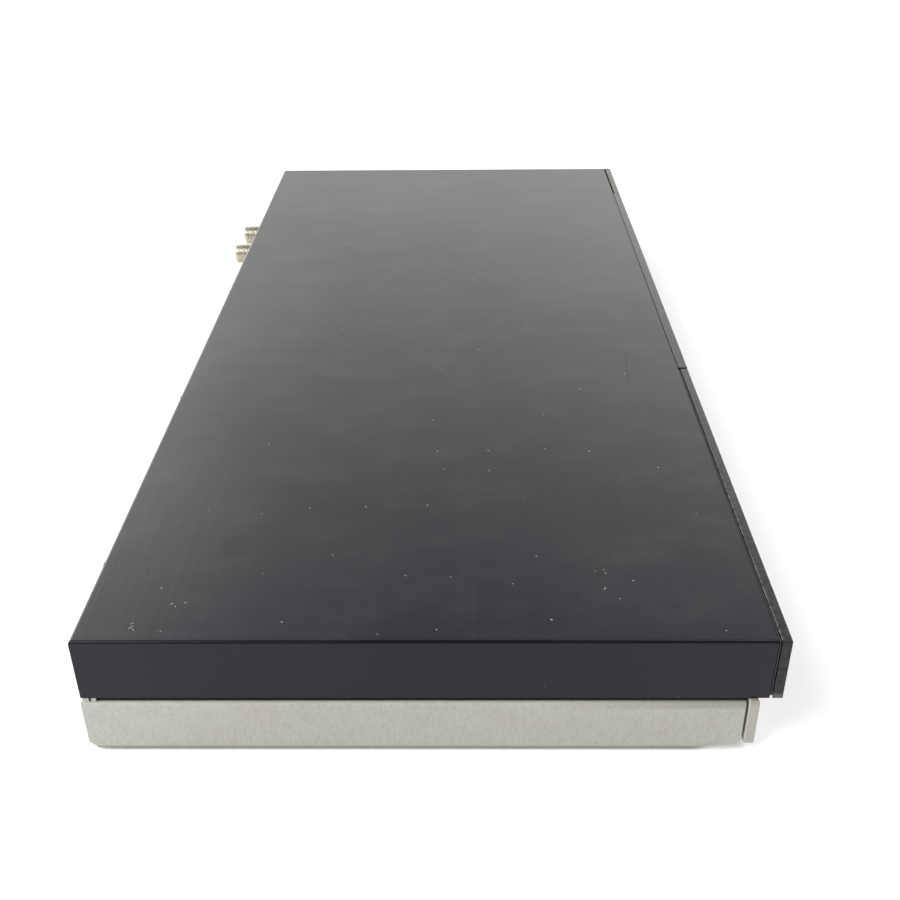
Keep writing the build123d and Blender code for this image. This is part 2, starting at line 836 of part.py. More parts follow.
def ac_inlet():
    """Mains inlet for a two-pole plug: a rounded mouth with two pins."""
    body = socket_shell(inlet_x, inlet_length, inlet_height, inlet_depth)
    z = board_top_z + inlet_height / 2
    mouth = block(
        inlet_x - inlet_mouth_length / 2, inlet_x + inlet_mouth_length / 2, panel_out_y - inlet_mouth_depth,
        panel_out_y + 1, z - inlet_mouth_height / 2, z + inlet_mouth_height / 2)
    mouth = fillet(mouth.edges().filter_by(Axis.Y), inlet_mouth_height / 2 - 0.2)
    body -= mouth
    for side in (-1, 1):
        x = inlet_x + side * inlet_pin_pitch / 2
        body += bar_y(x, z, panel_out_y - inlet_mouth_depth - 1, panel_out_y - 2, inlet_pin_radius)
    return body


def lan_socket():
    body = socket_shell(lan_x, lan_length, lan_height, lan_depth)
    low = board_top_z + 2.2
    body -= block(
        lan_x - 5.9, lan_x + 5.9, panel_out_y - lan_depth + 3, panel_out_y + 1, low + 1.4, low + 9.4)
    return body - block(lan_x - 3.2, lan_x + 3.2, panel_out_y - 9, panel_out_y + 1, low - 0.6, low + 2)


def hdmi_socket():
    body = socket_shell(hdmi_x, hdmi_length, hdmi_height, hdmi_depth)
    low = board_top_z + 0.9
    mouth = block(
        hdmi_x - 7.0, hdmi_x + 7.0, panel_out_y - hdmi_depth + 1, panel_out_y + 1, low, low + 4.6)
    mouth = chamfer(mouth.edges().filter_by(Axis.Y).group_by(Axis.Z)[0], 1.4)
    tongue = block(
        hdmi_x - 5.6, hdmi_x + 5.6, panel_out_y - hdmi_depth, panel_out_y - 1.5, low + 1.5, low + 2.9)
    return body - mouth + tongue


def optical_output():
    body = socket_shell(optical_x, optical_length, optical_height, optical_depth)
    z = board_top_z + optical_height / 2
    hole = block(optical_x - 3.0, optical_x + 3.0, panel_out_y - 7, panel_out_y + 1, z - 3.0, z + 3.0)
    return body - chamfer(hole.edges().filter_by(Axis.Y).group_by(Axis.Z)[-1], 1.2)


def av_jack():
    """Mini jack whose round nose fills its hole in the rear sheet."""
    z = board_top_z + av_height / 2
    body = block(
        av_x - av_length / 2, av_x + av_length / 2, panel_out_y - av_depth, panel_in_y,
        board_top_z, board_top_z + av_height)
    body += bar_y(av_x, z, panel_in_y - 1, panel_out_y, av_nose_radius)
    return body - bar_y(av_x, z, panel_out_y - av_depth + 1.5, panel_out_y + 1, av_bore_radius)


def antenna_block():
    """Shielded tuner box on the main board, behind the antenna connectors."""
    low = board_top_z
    high = top_z - antenna_top_drop + 8
    half = antenna_block_length / 2
    return block(
        antenna_x - half, antenna_x + half, panel_in_y - antenna_block_depth, panel_in_y, low, high)


def antenna_connectors():
    """Four round coaxial connectors, each with a collar in the sheet and its centre hole."""
    group = []
    for x in antenna_xs:
        for z in antenna_zs:
            barrel = bar_y(x, z, panel_in_y, jack_y, antenna_radius)
            barrel = chamfer(barrel.edges().group_by(Axis.Y)[-1], 0.4)
            barrel += bar_y(x, z, panel_in_y, rear_y + antenna_collar_reach, antenna_collar_radius)
            barrel -= bar_y(x, z, jack_y - 8, jack_y + 1, antenna_bore_radius)
            recess = bar_y(x, z, jack_y - 0.8, jack_y + 1, antenna_radius - 1.3)
            group.append(barrel - recess)
    return Compound(children=group)


def fan_housing():
    """Square frame of the fan, with its motor boss held by four struts at the rear."""
    half = fan_size / 2
    y0 = panel_in_y - fan_depth
    body = block(fan_x - half, fan_x + half, y0, panel_in_y, fan_z - half, fan_z + half)
    body = fillet(body.edges().filter_by(Axis.Y), 2.0)
    body -= bar_y(fan_x, fan_z, y0 - 1, panel_in_y + 1, fan_bore_radius)
    boss_y = panel_in_y - fan_back
    body += bar_y(fan_x, fan_z, boss_y, panel_in_y, fan_hub_radius - 0.5)
    for turn in (45, 135):
        arm = Rot(0, turn, 0) * Box(2 * fan_bore_radius + 1, fan_back, fan_strut)
        body += Pos(fan_x, boss_y + fan_back / 2, fan_z) * arm
    body += bar_y(fan_x, fan_z, y0 + 2, panel_in_y - 0.5, fan_shaft_radius)
    hole = half - fan_hole_inset
    for x in (fan_x - hole, fan_x + hole):
        for z in (fan_z - hole, fan_z + hole):
            body -= bar_y(x, z, y0 - 1, panel_in_y + 1, fan_hole_radius)
    return body


def fan_rotor():
    """Hub and twisted blades on the fan's shaft."""
    y0 = panel_in_y - fan_depth + 0.8
    y1 = panel_in_y - fan_back - 0.4
    body = bar_y(fan_x, fan_z, y0, y1, fan_hub_radius)
    for k in range(fan_blades):
        blade = Pos(0, 0, (fan_hub_radius + fan_tip_radius) / 2 - 0.5) * Rot(0, 0, fan_blade_angle) * Box(
            fan_blade_chord, fan_blade_thickness, fan_tip_radius - fan_hub_radius + 1)
        body += Pos(fan_x, (y0 + y1) / 2, fan_z) * Rot(0, 360 * k / fan_blades, 0) * blade
    body &= bar_y(fan_x, fan_z, y0, y1, fan_tip_radius)
    return body - bar_y(fan_x, fan_z, y0 + 0.8, y1 + 1, fan_shaft_radius + slip_gap)


def main_board():
    return block(
        main_board_x[0], main_board_x[1], main_board_y[0], main_board_y[1], board_z, board_top_z)


def power_board():
    return block(
        power_board_x[0], power_board_x[1], power_board_y[0], power_board_y[1], board_z, board_top_z)


def main_heat_sink():
    """Finned block on the main chip."""
    half = main_sink_size / 2
    x = main_chip_x
    y = main_chip_y
    low = board_top_z + chip_height
    body = block(x - half, x + half, y - half, y + half, low, low + 3)
    gap = (main_sink_size - main_sink_fin) / (main_sink_fins - 1)
    for k in range(main_sink_fins):
        x0 = x - half + k * gap
        body += block(x0, x0 + main_sink_fin, y - half, y + half, low, low + main_sink_height)
    return body


def board_chips():
    """Chips and connectors on the main board."""
    low = board_top_z
    group = []
    half = main_chip_size / 2
    group.append(block(
        main_chip_x - half, main_chip_x + half, main_chip_y - half, main_chip_y + half,
        low, low + chip_height))
    for place, depth, length, width, height in board_chip_sizes:
        x = main_board_x[0] + place if place > 0 else main_board_x[1] + place
        y = main_board_y[0] + depth
        group.append(block(
            x - length / 2, x + length / 2, y - width / 2, y + width / 2, low, low + height))
    x = main_board_x[1] - can_inset
    for k in range(can_count):
        y = main_board_y[0] + can_place + k * can_pitch
        group.append(post(x, y, low, low + can_height, can_radius))
    return Compound(children=group)


def transformer():
    """Ferrite core with its wound bobbin between the core's legs."""
    sx, sy, sz = transformer_size
    x = (power_board_x[0] + power_board_x[1]) / 2 + transformer_offset
    y = power_board_y[0] + transformer_place
    core = block(x - sx / 2, x + sx / 2, y - sy / 2, y + sy / 2, board_top_z + 3, board_top_z + sz)
    bobbin = block(
        x - sx / 2 - 2, x + sx / 2 + 2, y - sy / 2 + 5, y + sy / 2 - 5, board_top_z,
        board_top_z + sz - 3)
    return core + bobbin


def mains_capacitor():
    x = (power_board_x[0] + power_board_x[1]) / 2 + transformer_offset
    y = power_board_y[0] + capacitor_place
    can = post(x, y, board_top_z, board_top_z + capacitor_height, capacitor_radius)
    return fillet(can.edges().group_by(Axis.Z)[-1], 1.0)


def power_heat_sink():
    x = power_board_x[1] - 9
    y = power_board_y[0] + power_sink_place
    half = power_sink_length / 2
    body = block(
        x, x + power_sink_thickness, y - half, y + half, board_top_z, board_top_z + power_sink_height)
    for k in range(5):
        z = board_top_z + 6 + k * 3.6
        body += block(x, x + 7, y - half, y + half, z, z + 1.0)
    return body


def board_screws():
    """Screws that hold the two boards on the pan's standoffs."""
    group = []
    for x, y in main_standoffs + power_standoffs:
        head = post(x, y, board_top_z, board_top_z + screw_head_height, screw_head_radius)
        head -= block(x - 1.8, x + 1.8, y - 0.35, y + 0.35, board_top_z + 0.8, board_top_z + 3)
        head -= block(x - 0.35, x + 0.35, y - 1.8, y + 1.8, board_top_z + 0.8, board_top_z + 3)
        group.append(head)
    return Compound(children=group)


def front_board():
    """Level board behind the flap door, on two posts and against the frame."""
    return block(
        front_board_x[0], front_board_x[1], frame_back_y, front_board_rear_y, front_board_z,
        front_board_z + front_board_thickness)


def front_usb_socket():
    y0 = frame_front_y + 0.3
    top = front_board_z - contact_gap
    low = front_board_z - usb_height
    body = block(usb_x - usb_length / 2, usb_x + usb_length / 2, y0, y0 + usb_depth, low, top)
    body += block(
        usb_x - usb_length / 2, usb_x + usb_length / 2, frame_back_y + 0.3, y0 + usb_depth, low,
        front_board_z)
    body -= block(usb_x - 6.3, usb_x + 6.3, y0 - 1, y0 + usb_depth - 2, low + 0.8, low + 5.9)
    return body + block(usb_x - 5.6, usb_x + 5.6, y0 + 1.5, y0 + usb_depth - 1, low + 3.7, low + 5.4)


def card_reader():
    y0 = frame_back_y + 0.1
    low = front_board_z + front_board_thickness
    body = block(
        card_x - card_length / 2, card_x + card_length / 2, y0, y0 + card_depth, low, low + card_height)
    half = card_slot_length / 2
    slot_low = low + (card_height - card_slot_height) / 2
    return body - block(
        card_x - half, card_x + half, y0 - 1, y0 + card_depth - 3, slot_low,
        slot_low + card_slot_height)


def disk_drive_case():
    """Cast case of the hard disk, hollow below for its board."""
    half = disk_width / 2
    high = disk_top_z - disk_lid_thickness
    body = block(disk_x - half, disk_x + half, disk_front_y, disk_rear_y, disk_z, high)
    body = fillet(body.edges().filter_by(Axis.Z), 2.5)
    pocket = block(
        disk_x - half + 3, disk_x + half - 3, disk_front_y + 3, disk_rear_y + 1, disk_z - 1,
        disk_z + disk_skirt)
    well = post(disk_x, disk_front_y + 56, disk_z + disk_skirt + 3, high + 1, half - 4)
    return body - pocket - well


def disk_drive_lid():
    half = disk_width / 2 - disk_lid_inset
    high = disk_top_z
    body = block(
        disk_x - half, disk_x + half, disk_front_y + disk_lid_inset, disk_rear_y - disk_lid_inset,
        high - disk_lid_thickness, high)
    return fillet(body.edges().filter_by(Axis.Z), 4.0)


def disk_drive_board():
    half = disk_width / 2 - 5
    high = disk_z + disk_skirt
    return block(
        disk_x - half, disk_x + half, disk_front_y + 50, disk_rear_y - 2, high - disk_board_thickness, high)


def disk_drive_bracket():
    """Sheet cradle on four legs; its side walls hold the hard disk's case."""
    half = disk_width / 2
    y0 = disk_front_y + 10
    y1 = disk_rear_y - 10
    body = block(
        disk_x - half - cradle_sheet, disk_x + half + cradle_sheet, y0, y1, cradle_z,
        cradle_z + cradle_sheet)
    for x0 in (disk_x - half - cradle_sheet, disk_x + half):
        body += block(x0, x0 + cradle_sheet, y0, y1, cradle_z, cradle_z + cradle_wall_height)
    body -= block(disk_x - 34, disk_x + 34, y0 + 14, y1 - 14, cradle_z - 1, cradle_z + cradle_sheet + 1)
    for x in (disk_x - half + 8, disk_x + half - 8):
        for y in (y0 + 8, y1 - 8):
            body += post(x, y, floor_z, cradle_z + cradle_sheet, cradle_leg_radius)
    return body


def drive_chassis():
    """Plastic frame of the disc drive: floor, walls, tray rails, gear posts and damper posts."""
    half = drive_width / 2
    body = block(drive_x - half, drive_x + half, drive_front_y, drive_rear_y, drive_z, drive_top_z)
    low_front = body.edges().filter_by(Axis.X).group_by(Axis.Z)[0].sort_by(Axis.Y)[0]
    body = chamfer(low_front, drive_front_bevel)
    body -= block(
        drive_x - wall_inner, drive_x + wall_inner, drive_front_y + drive_wall, drive_rear_y - drive_wall,
        drive_deck_z, drive_top_z + 1)
    front_open = tray_z - rack_drop - 0.8
    body -= block(
        drive_x - wall_inner, drive_x + wall_inner, drive_front_y - 1, drive_front_y + 3, front_open,
        drive_top_z + 1)
    body -= block(
        drive_x - floor_window_half, drive_x + floor_window_half, disc_y - 10, disc_y + 76,
        drive_z - 1, drive_deck_z + 1)
    rail_z = tray_z - contact_gap
    hold_z = tray_top_z + contact_gap
    spacing = (drive_rear_y - drive_front_y - 2 * hold_inset) / (hold_count - 1)
    for side in (-1, 1):
        x0, x1 = sorted((drive_x + side * (wall_inner - guide_depth), drive_x + side * wall_inner))
        body += block(x0, x1, drive_front_y + 1, drive_rear_y - 1, rail_z - guide_thickness, rail_z)
        x0, x1 = sorted((drive_x + side * (wall_inner - guide_rib), drive_x + side * wall_inner))
        body += block(x0, x1, drive_front_y + 1, drive_rear_y - 1, rail_z - guide_thickness, hold_z)
        x0, x1 = sorted((drive_x + side * (wall_inner - guide_rib - 2), drive_x + side * wall_inner))
        for k in range(hold_count):
            y = drive_front_y + hold_inset + k * spacing
            body += block(
                x0, x1, y - hold_length / 2, y + hold_length / 2, hold_z, hold_z + hold_thickness)
    body += post(gear_x, gear_y, drive_deck_z - 0.5, gear_hub_z - 0.1, gear_post_radius + 1.2)
    body += post(gear_x, gear_y, drive_deck_z - 0.5, gear_top_z - 0.2, gear_post_radius)
    body += post(pulley_x, gear_y, drive_deck_z - 0.5, pulley_z - 0.1, pulley_post_radius + 1.2)
    body += post(pulley_x, gear_y, drive_deck_z - 0.5, gear_top_z - 0.2, pulley_post_radius)
    for x in (drive_x - damper_x, drive_x + damper_x):
        for y in damper_y:
            body += post(x, y, drive_deck_z - 0.5, traverse_z - damper_height, damper_radius - 0.5)
            body += post(x, y, drive_deck_z - 0.5, traverse_top_z + 1.0, 1.4)
    for x in (drive_x - half + 6, drive_x + half - 6):
        for y in (drive_front_y + 20, drive_rear_y - 8):
            body += post(x, y, floor_z, drive_z + 0.5, 4.0)
    return body


def drive_lid():
    """Sheet lid of the disc drive, with the hole that the clamp plate hangs in."""
    half = drive_width / 2
    high = drive_top_z + drive_lid_sheet
    body = block(
        drive_x - half - drive_lid_sheet, drive_x + half + drive_lid_sheet, drive_front_y + 2, drive_rear_y,
        drive_top_z - drive_lid_flange, high)
    body -= block(
        drive_x - half, drive_x + half, drive_front_y, drive_rear_y + 1,
        drive_top_z - drive_lid_flange - 1, drive_top_z)
    hole_radius = clamp_neck_radius + 0.5
    body -= post(drive_x, disc_y, drive_top_z - 1, high + 1, hole_radius)
    for side in (-1, 1):
        x0, x1 = sorted((drive_x + side * 22, drive_x + side * 24))
        body += block(x0, x1, disc_y - 40, disc_y + 60, high, high + 1.2)
    return body


def drive_board():
    """Board of the disc drive, under its floor."""
    half = drive_width / 2 - 20
    return block(
        drive_x - half, drive_x + half, disc_y - 4, disc_y + 88, drive_z - drive_board_thickness, drive_z)


def flat_cable():
    """Flat cable from the drive's board, below the hard disk, to the main board."""
    thick = cable_thickness
    y0 = disc_y + cable_place
    y1 = y0 + cable_width
    low = drive_z - drive_board_thickness - thick
    start_x = drive_end_x - 32
    rise_x = main_board_x[0] - 3
    body = block(start_x, rise_x + thick, y0, y1, low, low + thick)
    body += block(rise_x, rise_x + thick, y0, y1, low, board_top_z + thick)
    body += block(rise_x, main_board_x[0] + 5, y0, y1, board_top_z, board_top_z + thick)
    return body


def traverse_plate():
    """Sheet plate on the dampers that carries the spindle motor, the rods and the sled's screw."""
    x0 = drive_x - traverse_half_width
    x1 = drive_x + traverse_half_width
    body = block(x0, x1, traverse_front_y, traverse_rear_y, traverse_z, traverse_top_z)
    body = fillet(body.edges().filter_by(Axis.Z), 6.0)
    body -= block(
        drive_x - 20, drive_x + 20, sled_front_y + 3, rod_rear_y[0] - 2, traverse_z - 1,
        traverse_top_z + 1)
    for x in (drive_x - damper_x, drive_x + damper_x):
        for y in damper_y:
            body -= post(x, y, traverse_z - 1, traverse_top_z + 1, 1.7)
    half = rod_block / 2
    for offset in rod_offsets:
        x = drive_x + offset
        for y0, y1 in (rod_front_y, rod_rear_y):
            body += block(x - half, x + half, y0, y1, traverse_top_z - 0.2, rod_z + rod_radius + 1)
            body -= bar_y(x, rod_z, y0 - 1, y1 + 1, rod_radius + 0.02)
    x = drive_x + screw_offset
    y0, y1 = rod_rear_y
    body += block(x - 3, x + 3, y0, y1, traverse_top_z - 0.2, rod_z + screw_radius + 1)
    body -= bar_y(x, rod_z, y0 - 1, y1 + 1, screw_journal_radius + slip_gap)
    motor_y = rod_front_y[0] - 2
    body += block(
        x - 3, x + 3, motor_y - sled_motor_length + 3, motor_y,
        traverse_top_z - 0.2, rod_z - sled_motor_radius + 0.6)
    body -= bar_y(x, rod_z, motor_y - sled_motor_length, motor_y + 1, sled_motor_radius + 0.02)
    return body


def traverse_dampers():
    group = []
    for x in (drive_x - damper_x, drive_x + damper_x):
        for y in damper_y:
            ring = post(x, y, traverse_z - damper_height, traverse_z, damper_radius)
            ring = fillet(ring.edges(), 0.5)
            group.append(ring - post(x, y, 0, traverse_z + 1, 1.5))
    return Compound(children=group)


def spindle_motor():
    high = traverse_top_z + spindle_height
    body = post(drive_x, disc_y, traverse_top_z, high, spindle_radius)
    body = fillet(body.edges().group_by(Axis.Z)[-1], 0.8)
    return body - post(drive_x, disc_y, traverse_top_z + 1, high + 1, spindle_shaft_radius + slip_gap)


def turntable():
    """Disc seat with its centring hub and the motor's shaft below."""
    body = post(drive_x, disc_y, seat_z - seat_thickness, seat_z, seat_radius)
    hub = post(drive_x, disc_y, seat_z, seat_z + hub_height, hub_radius)
    body += chamfer(hub.edges().group_by(Axis.Z)[-1], 0.9)
    low = traverse_top_z + spindle_height + 0.5
    body += post(drive_x, disc_y, low, seat_z - seat_thickness, 4.0)
    return body + post(drive_x, disc_y, traverse_top_z + 1.5, low, spindle_shaft_radius)


def clamp_plate():
    """Clamp that hangs in the lid's hole by its flange and turns with the disc."""
    lid_z = drive_top_z + drive_lid_sheet
    flange_z = lid_z + 0.2
    body = post(drive_x, disc_y, clamp_z, clamp_z + clamp_thickness, clamp_radius)
    body += post(drive_x, disc_y, clamp_z, flange_z + 0.5, clamp_neck_radius)
    body += post(drive_x, disc_y, flange_z, flange_z + clamp_flange_thickness, clamp_flange_radius)
    return body - post(drive_x, disc_y, clamp_z - 1, seat_z + hub_height + 0.4, hub_radius + 0.7)


def guide_rods():
    group = []
    for offset in rod_offsets:
        group.append(bar_y(drive_x + offset, rod_z, rod_front_y[0], rod_rear_y[1], rod_radius))
    return Compound(children=group)


def pickup_sled():
    """Die-cast sled on the two rods, with its nut round the lead screw."""
    x0 = drive_x + rod_offsets[0] - 3
    x1 = drive_x + rod_offsets[1] + 3.5
    rear = sled_front_y + sled_length
    body = block(x0, x1, sled_front_y, rear, sled_z[0], sled_z[1])
    half = nut_size / 2
    x = drive_x + screw_offset
    body += block(
        x1 - 1, x + half, sled_front_y + 6, sled_front_y + 6 + nut_length, rod_z - 3, rod_z + 3)
    for offset in rod_offsets:
        body -= bar_y(drive_x + offset, rod_z, sled_front_y - 1, rear + 1, rod_radius + slip_gap)
    body -= bar_y(x, rod_z, sled_front_y - 1, rear + 1, screw_radius + slip_gap)
    return body


def pickup_lens():
    """Lens in its holder, which floats just above the sled."""
    low = sled_z[1] + lens_gap
    half = lens_base / 2
    holder = block(drive_x - half, drive_x + half, lens_y - half, lens_y + half, low, low + 1.4)
    holder = fillet(holder.edges().filter_by(Axis.Z), 1.5)
    holder += post(drive_x, lens_y, low, low + lens_mount_height, lens_mount_radius)
    dome_z = low + lens_mount_height - lens_radius + lens_height - 0.3
    dome = Pos(drive_x, lens_y, dome_z) * Sphere(lens_radius)
    cut = block(drive_x - 9, drive_x + 9, lens_y - 9, lens_y + 9, low, low + 9)
    return holder + (dome & cut)


def lead_screw():
    x = drive_x + screw_offset
    start = rod_front_y[0] - 2 - 3
    body = bar_y(x, rod_z, start, rod_rear_y[0] - 0.3, screw_radius)
    return body + bar_y(x, rod_z, rod_rear_y[0] - 0.5, rod_rear_y[1], screw_journal_radius)


def sled_motor():
    x = drive_x + screw_offset
    rear = rod_front_y[0] - 2
    body = bar_y(x, rod_z, rear - sled_motor_length, rear, sled_motor_radius)
    return body - bar_y(x, rod_z, rear - 3.3, rear + 1, screw_radius + slip_gap)


def loading_motor():
    low = drive_deck_z
    high = pulley_z - 0.5
    body = post(motor_x, gear_y, low, high, loading_motor_radius)
    body = fillet(body.edges().group_by(Axis.Z)[-1], 0.8)
    return body - post(motor_x, gear_y, high - 6, high + 1, motor_shaft_radius + slip_gap)


def motor_pulley():
    """Small pulley on the loading motor's shaft."""
    low = pulley_z
    high = pulley_z + pulley_band
    body = grooved_wheel(motor_x, low, high, motor_groove_radius)
    return body + post(motor_x, gear_y, pulley_z - 6, low + 0.5, motor_shaft_radius)


def grooved_wheel(x, low, high, groove_radius):
    """A wheel with a square groove for the belt."""
    middle = (low + high) / 2
    half = belt_width / 2 + 0.1
    body = post(x, gear_y, low, high, groove_radius + pulley_flange)
    ring = post(x, gear_y, middle - half, middle + half, groove_radius + pulley_flange + 1)
    ring -= post(x, gear_y, middle - half, middle + half, groove_radius)
    return body - ring


def belt_pulley():
    """Pulley with the pinion that drives the large gear, on its post."""
    high = pulley_z + pulley_band
    body = grooved_wheel(pulley_x, pulley_z, high, belt_groove_radius)
    half_tooth = 180.0 / pinion_teeth
    body += spur_gear(pinion_teeth, pulley_x, gear_y, high, gear_top_z, half_tooth)
    return body - post(pulley_x, gear_y, pulley_z - 1, gear_top_z + 1, pulley_post_radius + slip_gap)


def drive_gear():
    """Large gear between the pinion and the tray's rack."""
    body = spur_gear(gear_teeth, gear_x, gear_y, gear_low_z, gear_top_z)
    body += post(gear_x, gear_y, gear_hub_z, gear_low_z, gear_post_radius + 1.8)
    return body - post(gear_x, gear_y, gear_hub_z - 1, gear_top_z + 1, gear_post_radius + slip_gap)


def belt_outline(large, small):
    """Outline round two circles and the straight runs between them, large one at the origin."""
    turn = math.acos((large - small) / belt_span)
    lean = math.pi - turn
    points = [
        (large * math.cos(lean), large * math.sin(lean)),
        (-belt_span + small * math.cos(lean), small * math.sin(lean)),
        (-belt_span + small * math.cos(lean), -small * math.sin(lean)),
        (large * math.cos(lean), -large * math.sin(lean)),
    ]
    return Circle(large) + Pos(-belt_span, 0) * Circle(small) + Polygon(*points, align=None)


def drive_belt():
    large = belt_groove_radius + slip_gap
    small = motor_groove_radius + slip_gap
    face = belt_outline(large + belt_width, small + belt_width) - belt_outline(large, small)
    low = pulley_z + (pulley_band - belt_width) / 2
    return Pos(pulley_x, gear_y, low) * extrude(face, amount=belt_width)


def disc_tray():
    """Tray with two disc recesses, a window out through its rear edge, its front wall and its rack."""
    x0 = drive_x - tray_half_width
    x1 = drive_x + tray_half_width
    body = block(x0, x1, panel_back_y + 1, tray_rear_y, tray_z, tray_top_z)
    body = fillet(body.edges().filter_by(Axis.Z).group_by(Axis.Y)[-1], 4.0)
    body += block(
        x0 + 2.5, x1 - 2.5, panel_back_y, panel_back_y + frame_thickness, tray_z,
        tray_z + tray_wall_height)
    deck = tray_top_z - disc_recess_depth
    body -= post(drive_x, disc_y, deck, tray_top_z + 1, disc_radius + disc_clearance)
    body -= post(drive_x, disc_y, deck - small_recess_depth, tray_top_z + 1, small_disc_radius)
    body -= post(drive_x, disc_y, tray_z - 1, tray_top_z + 1, tray_window_half)
    body -= block(
        drive_x - tray_window_half, drive_x + tray_window_half, disc_y, tray_rear_y + 1,
        tray_z - 1, tray_top_z + 1)
    return body + rack()


def rack():
    """Toothed bar under the tray's right side; a space faces the drive gear's tooth."""
    root = drive_x + rack_x + 1.1 * gear_module
    low = tray_z - rack_drop
    y0 = gear_y - 6
    y1 = tray_rear_y
    bar = block(root, root + rack_back, y0, y1, low, tray_z)
    pitch = math.pi * gear_module
    half = pitch / 4 - tooth_backlash / 2
    slope = math.tan(math.radians(20))
    tip = drive_x + rack_x - 0.8 * gear_module
    tip_half = half - 0.8 * gear_module * slope
    root_half = half + 1.1 * gear_module * slope
    teeth = int((y1 - gear_y - pitch) / pitch)
    for k in range(-2, teeth):
        y = gear_y + (k + 0.5) * pitch
        outline = [
            (tip, y - tip_half), (root + 0.1, y - root_half),
            (root + 0.1, y + root_half), (tip, y + tip_half),
        ]
        bar += Pos(0, 0, low) * extrude(Polygon(*outline, align=None), amount=rack_drop)
    return bar


def tray_bezel():
    """Front of the tray, as high as the cover."""
    body = block(-cover_x, bezel_end_x, front_y, panel_back_y, cover_z, top_z)
    front_edges = body.edges().group_by(Axis.Y)[0]
    return fillet(front_edges, panel_edge_radius)


pieces = [
    top_cover, cover_screws, base_chassis, foot_pads, lower_front_strip, front_frame, right_panel,
    display_window, flap_door, key_board, display_module, rear_panel, socket_panel,
    ac_inlet, lan_socket, hdmi_socket, optical_output, av_jack, antenna_block, antenna_connectors,
    fan_housing, fan_rotor, main_board, main_heat_sink, board_chips, power_board, transformer, mains_capacitor,
    power_heat_sink, board_screws, front_board, front_usb_socket, card_reader, disk_drive_case,
    disk_drive_lid, disk_drive_board, disk_drive_bracket, drive_chassis, drive_lid, drive_board,
    flat_cable, traverse_plate, traverse_dampers, spindle_motor, turntable, clamp_plate, guide_rods,
    pickup_sled, pickup_lens, lead_screw, sled_motor, loading_motor, motor_pulley, drive_belt,
    belt_pulley, drive_gear, disc_tray, tray_bezel,
]
for make in pieces:
    export_step(make(), f"parts/{make.__name__}.step")
for name, x in button_xs.items():
    export_step(front_button(x), f"parts/{name}.step")
print(len(pieces) + len(button_xs), "nodes, height", round(top_z, 2), "mm")
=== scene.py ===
# %% [markdown]
# A slim disc recorder, seen from its left end. The imported model gives every rigid piece in its place,
# so this script adds finishes, light, a camera, and the small things that are finer than the solids.

# %% Load the frame
import math

import bmesh
import bpy
from mathutils import Matrix, Vector


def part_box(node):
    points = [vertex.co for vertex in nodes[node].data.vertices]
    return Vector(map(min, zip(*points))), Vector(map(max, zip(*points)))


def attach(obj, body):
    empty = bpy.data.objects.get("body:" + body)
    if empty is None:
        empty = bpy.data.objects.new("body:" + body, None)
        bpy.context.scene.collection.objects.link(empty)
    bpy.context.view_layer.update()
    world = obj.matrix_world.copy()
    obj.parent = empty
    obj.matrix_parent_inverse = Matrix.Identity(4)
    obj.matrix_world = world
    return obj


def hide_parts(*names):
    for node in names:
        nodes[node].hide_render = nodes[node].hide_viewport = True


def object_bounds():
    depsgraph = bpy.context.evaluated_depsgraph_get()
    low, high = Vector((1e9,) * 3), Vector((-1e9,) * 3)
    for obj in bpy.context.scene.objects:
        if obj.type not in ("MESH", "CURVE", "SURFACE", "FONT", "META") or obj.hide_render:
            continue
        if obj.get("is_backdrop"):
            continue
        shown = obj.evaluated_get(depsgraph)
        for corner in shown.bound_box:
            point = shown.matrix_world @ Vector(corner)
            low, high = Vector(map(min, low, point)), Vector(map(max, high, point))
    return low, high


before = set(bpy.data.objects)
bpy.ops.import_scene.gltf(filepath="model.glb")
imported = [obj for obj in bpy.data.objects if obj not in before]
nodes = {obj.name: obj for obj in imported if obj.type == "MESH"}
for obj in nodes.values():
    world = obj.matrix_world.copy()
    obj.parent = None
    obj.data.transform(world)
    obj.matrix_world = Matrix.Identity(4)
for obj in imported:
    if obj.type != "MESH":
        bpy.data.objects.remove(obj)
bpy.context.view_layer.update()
print("frame:", len(nodes), "nodes")

# %% [markdown]
# The recorder is seen from 23 cm out from its left end and 20 cm above its top, along its length, with
# a lens of normal width. A camera could be turned by hand until the view looks right. Here its place and
# its three angles were fitted to the corners of the top cover, and the script builds the turn from
# them, because then every other shape can be set against the view.

# %% Camera
MM = 0.001
camera_place = Vector((-444.87, -14.69, 235.50)) * MM
camera_pitch = math.radians(30.677)
camera_yaw = math.radians(-0.772)
camera_roll = math.radians(-0.5495)
ahead = Vector((
    math.cos(camera_pitch) * math.cos(camera_yaw),
    -math.cos(camera_pitch) * math.sin(camera_yaw),
    -math.sin(camera_pitch)))
level = Vector((-math.sin(camera_yaw), -math.cos(camera_yaw), 0.0))
above = level.cross(ahead)
right = math.cos(camera_roll) * level + math.sin(camera_roll) * above
upward = -math.sin(camera_roll) * level + math.cos(camera_roll) * above
turn = Matrix((right, upward, -ahead)).transposed()
lens = bpy.data.cameras.new("camera")
lens.lens = 44.76
lens.sensor_width = 36.0
lens.clip_start = 0.01
camera = bpy.data.objects.new("camera", lens)
camera.matrix_world = Matrix.Translation(camera_place) @ turn.to_4x4()
bpy.context.scene.collection.objects.link(camera)
bpy.context.scene.camera = camera
bpy.context.scene.view_settings.view_transform = "Standard"
print("camera looks", [round(v, 3) for v in ahead])

# %% [markdown]
# A finish is a network of nodes, and most of its steps are plain sums. This small class lets a finish
# be written as sums: an operator on a value adds the Math node that does it, and the reflected forms
# allow 1 - mask. Adding and linking those nodes one by one would bury the sum in a long list.

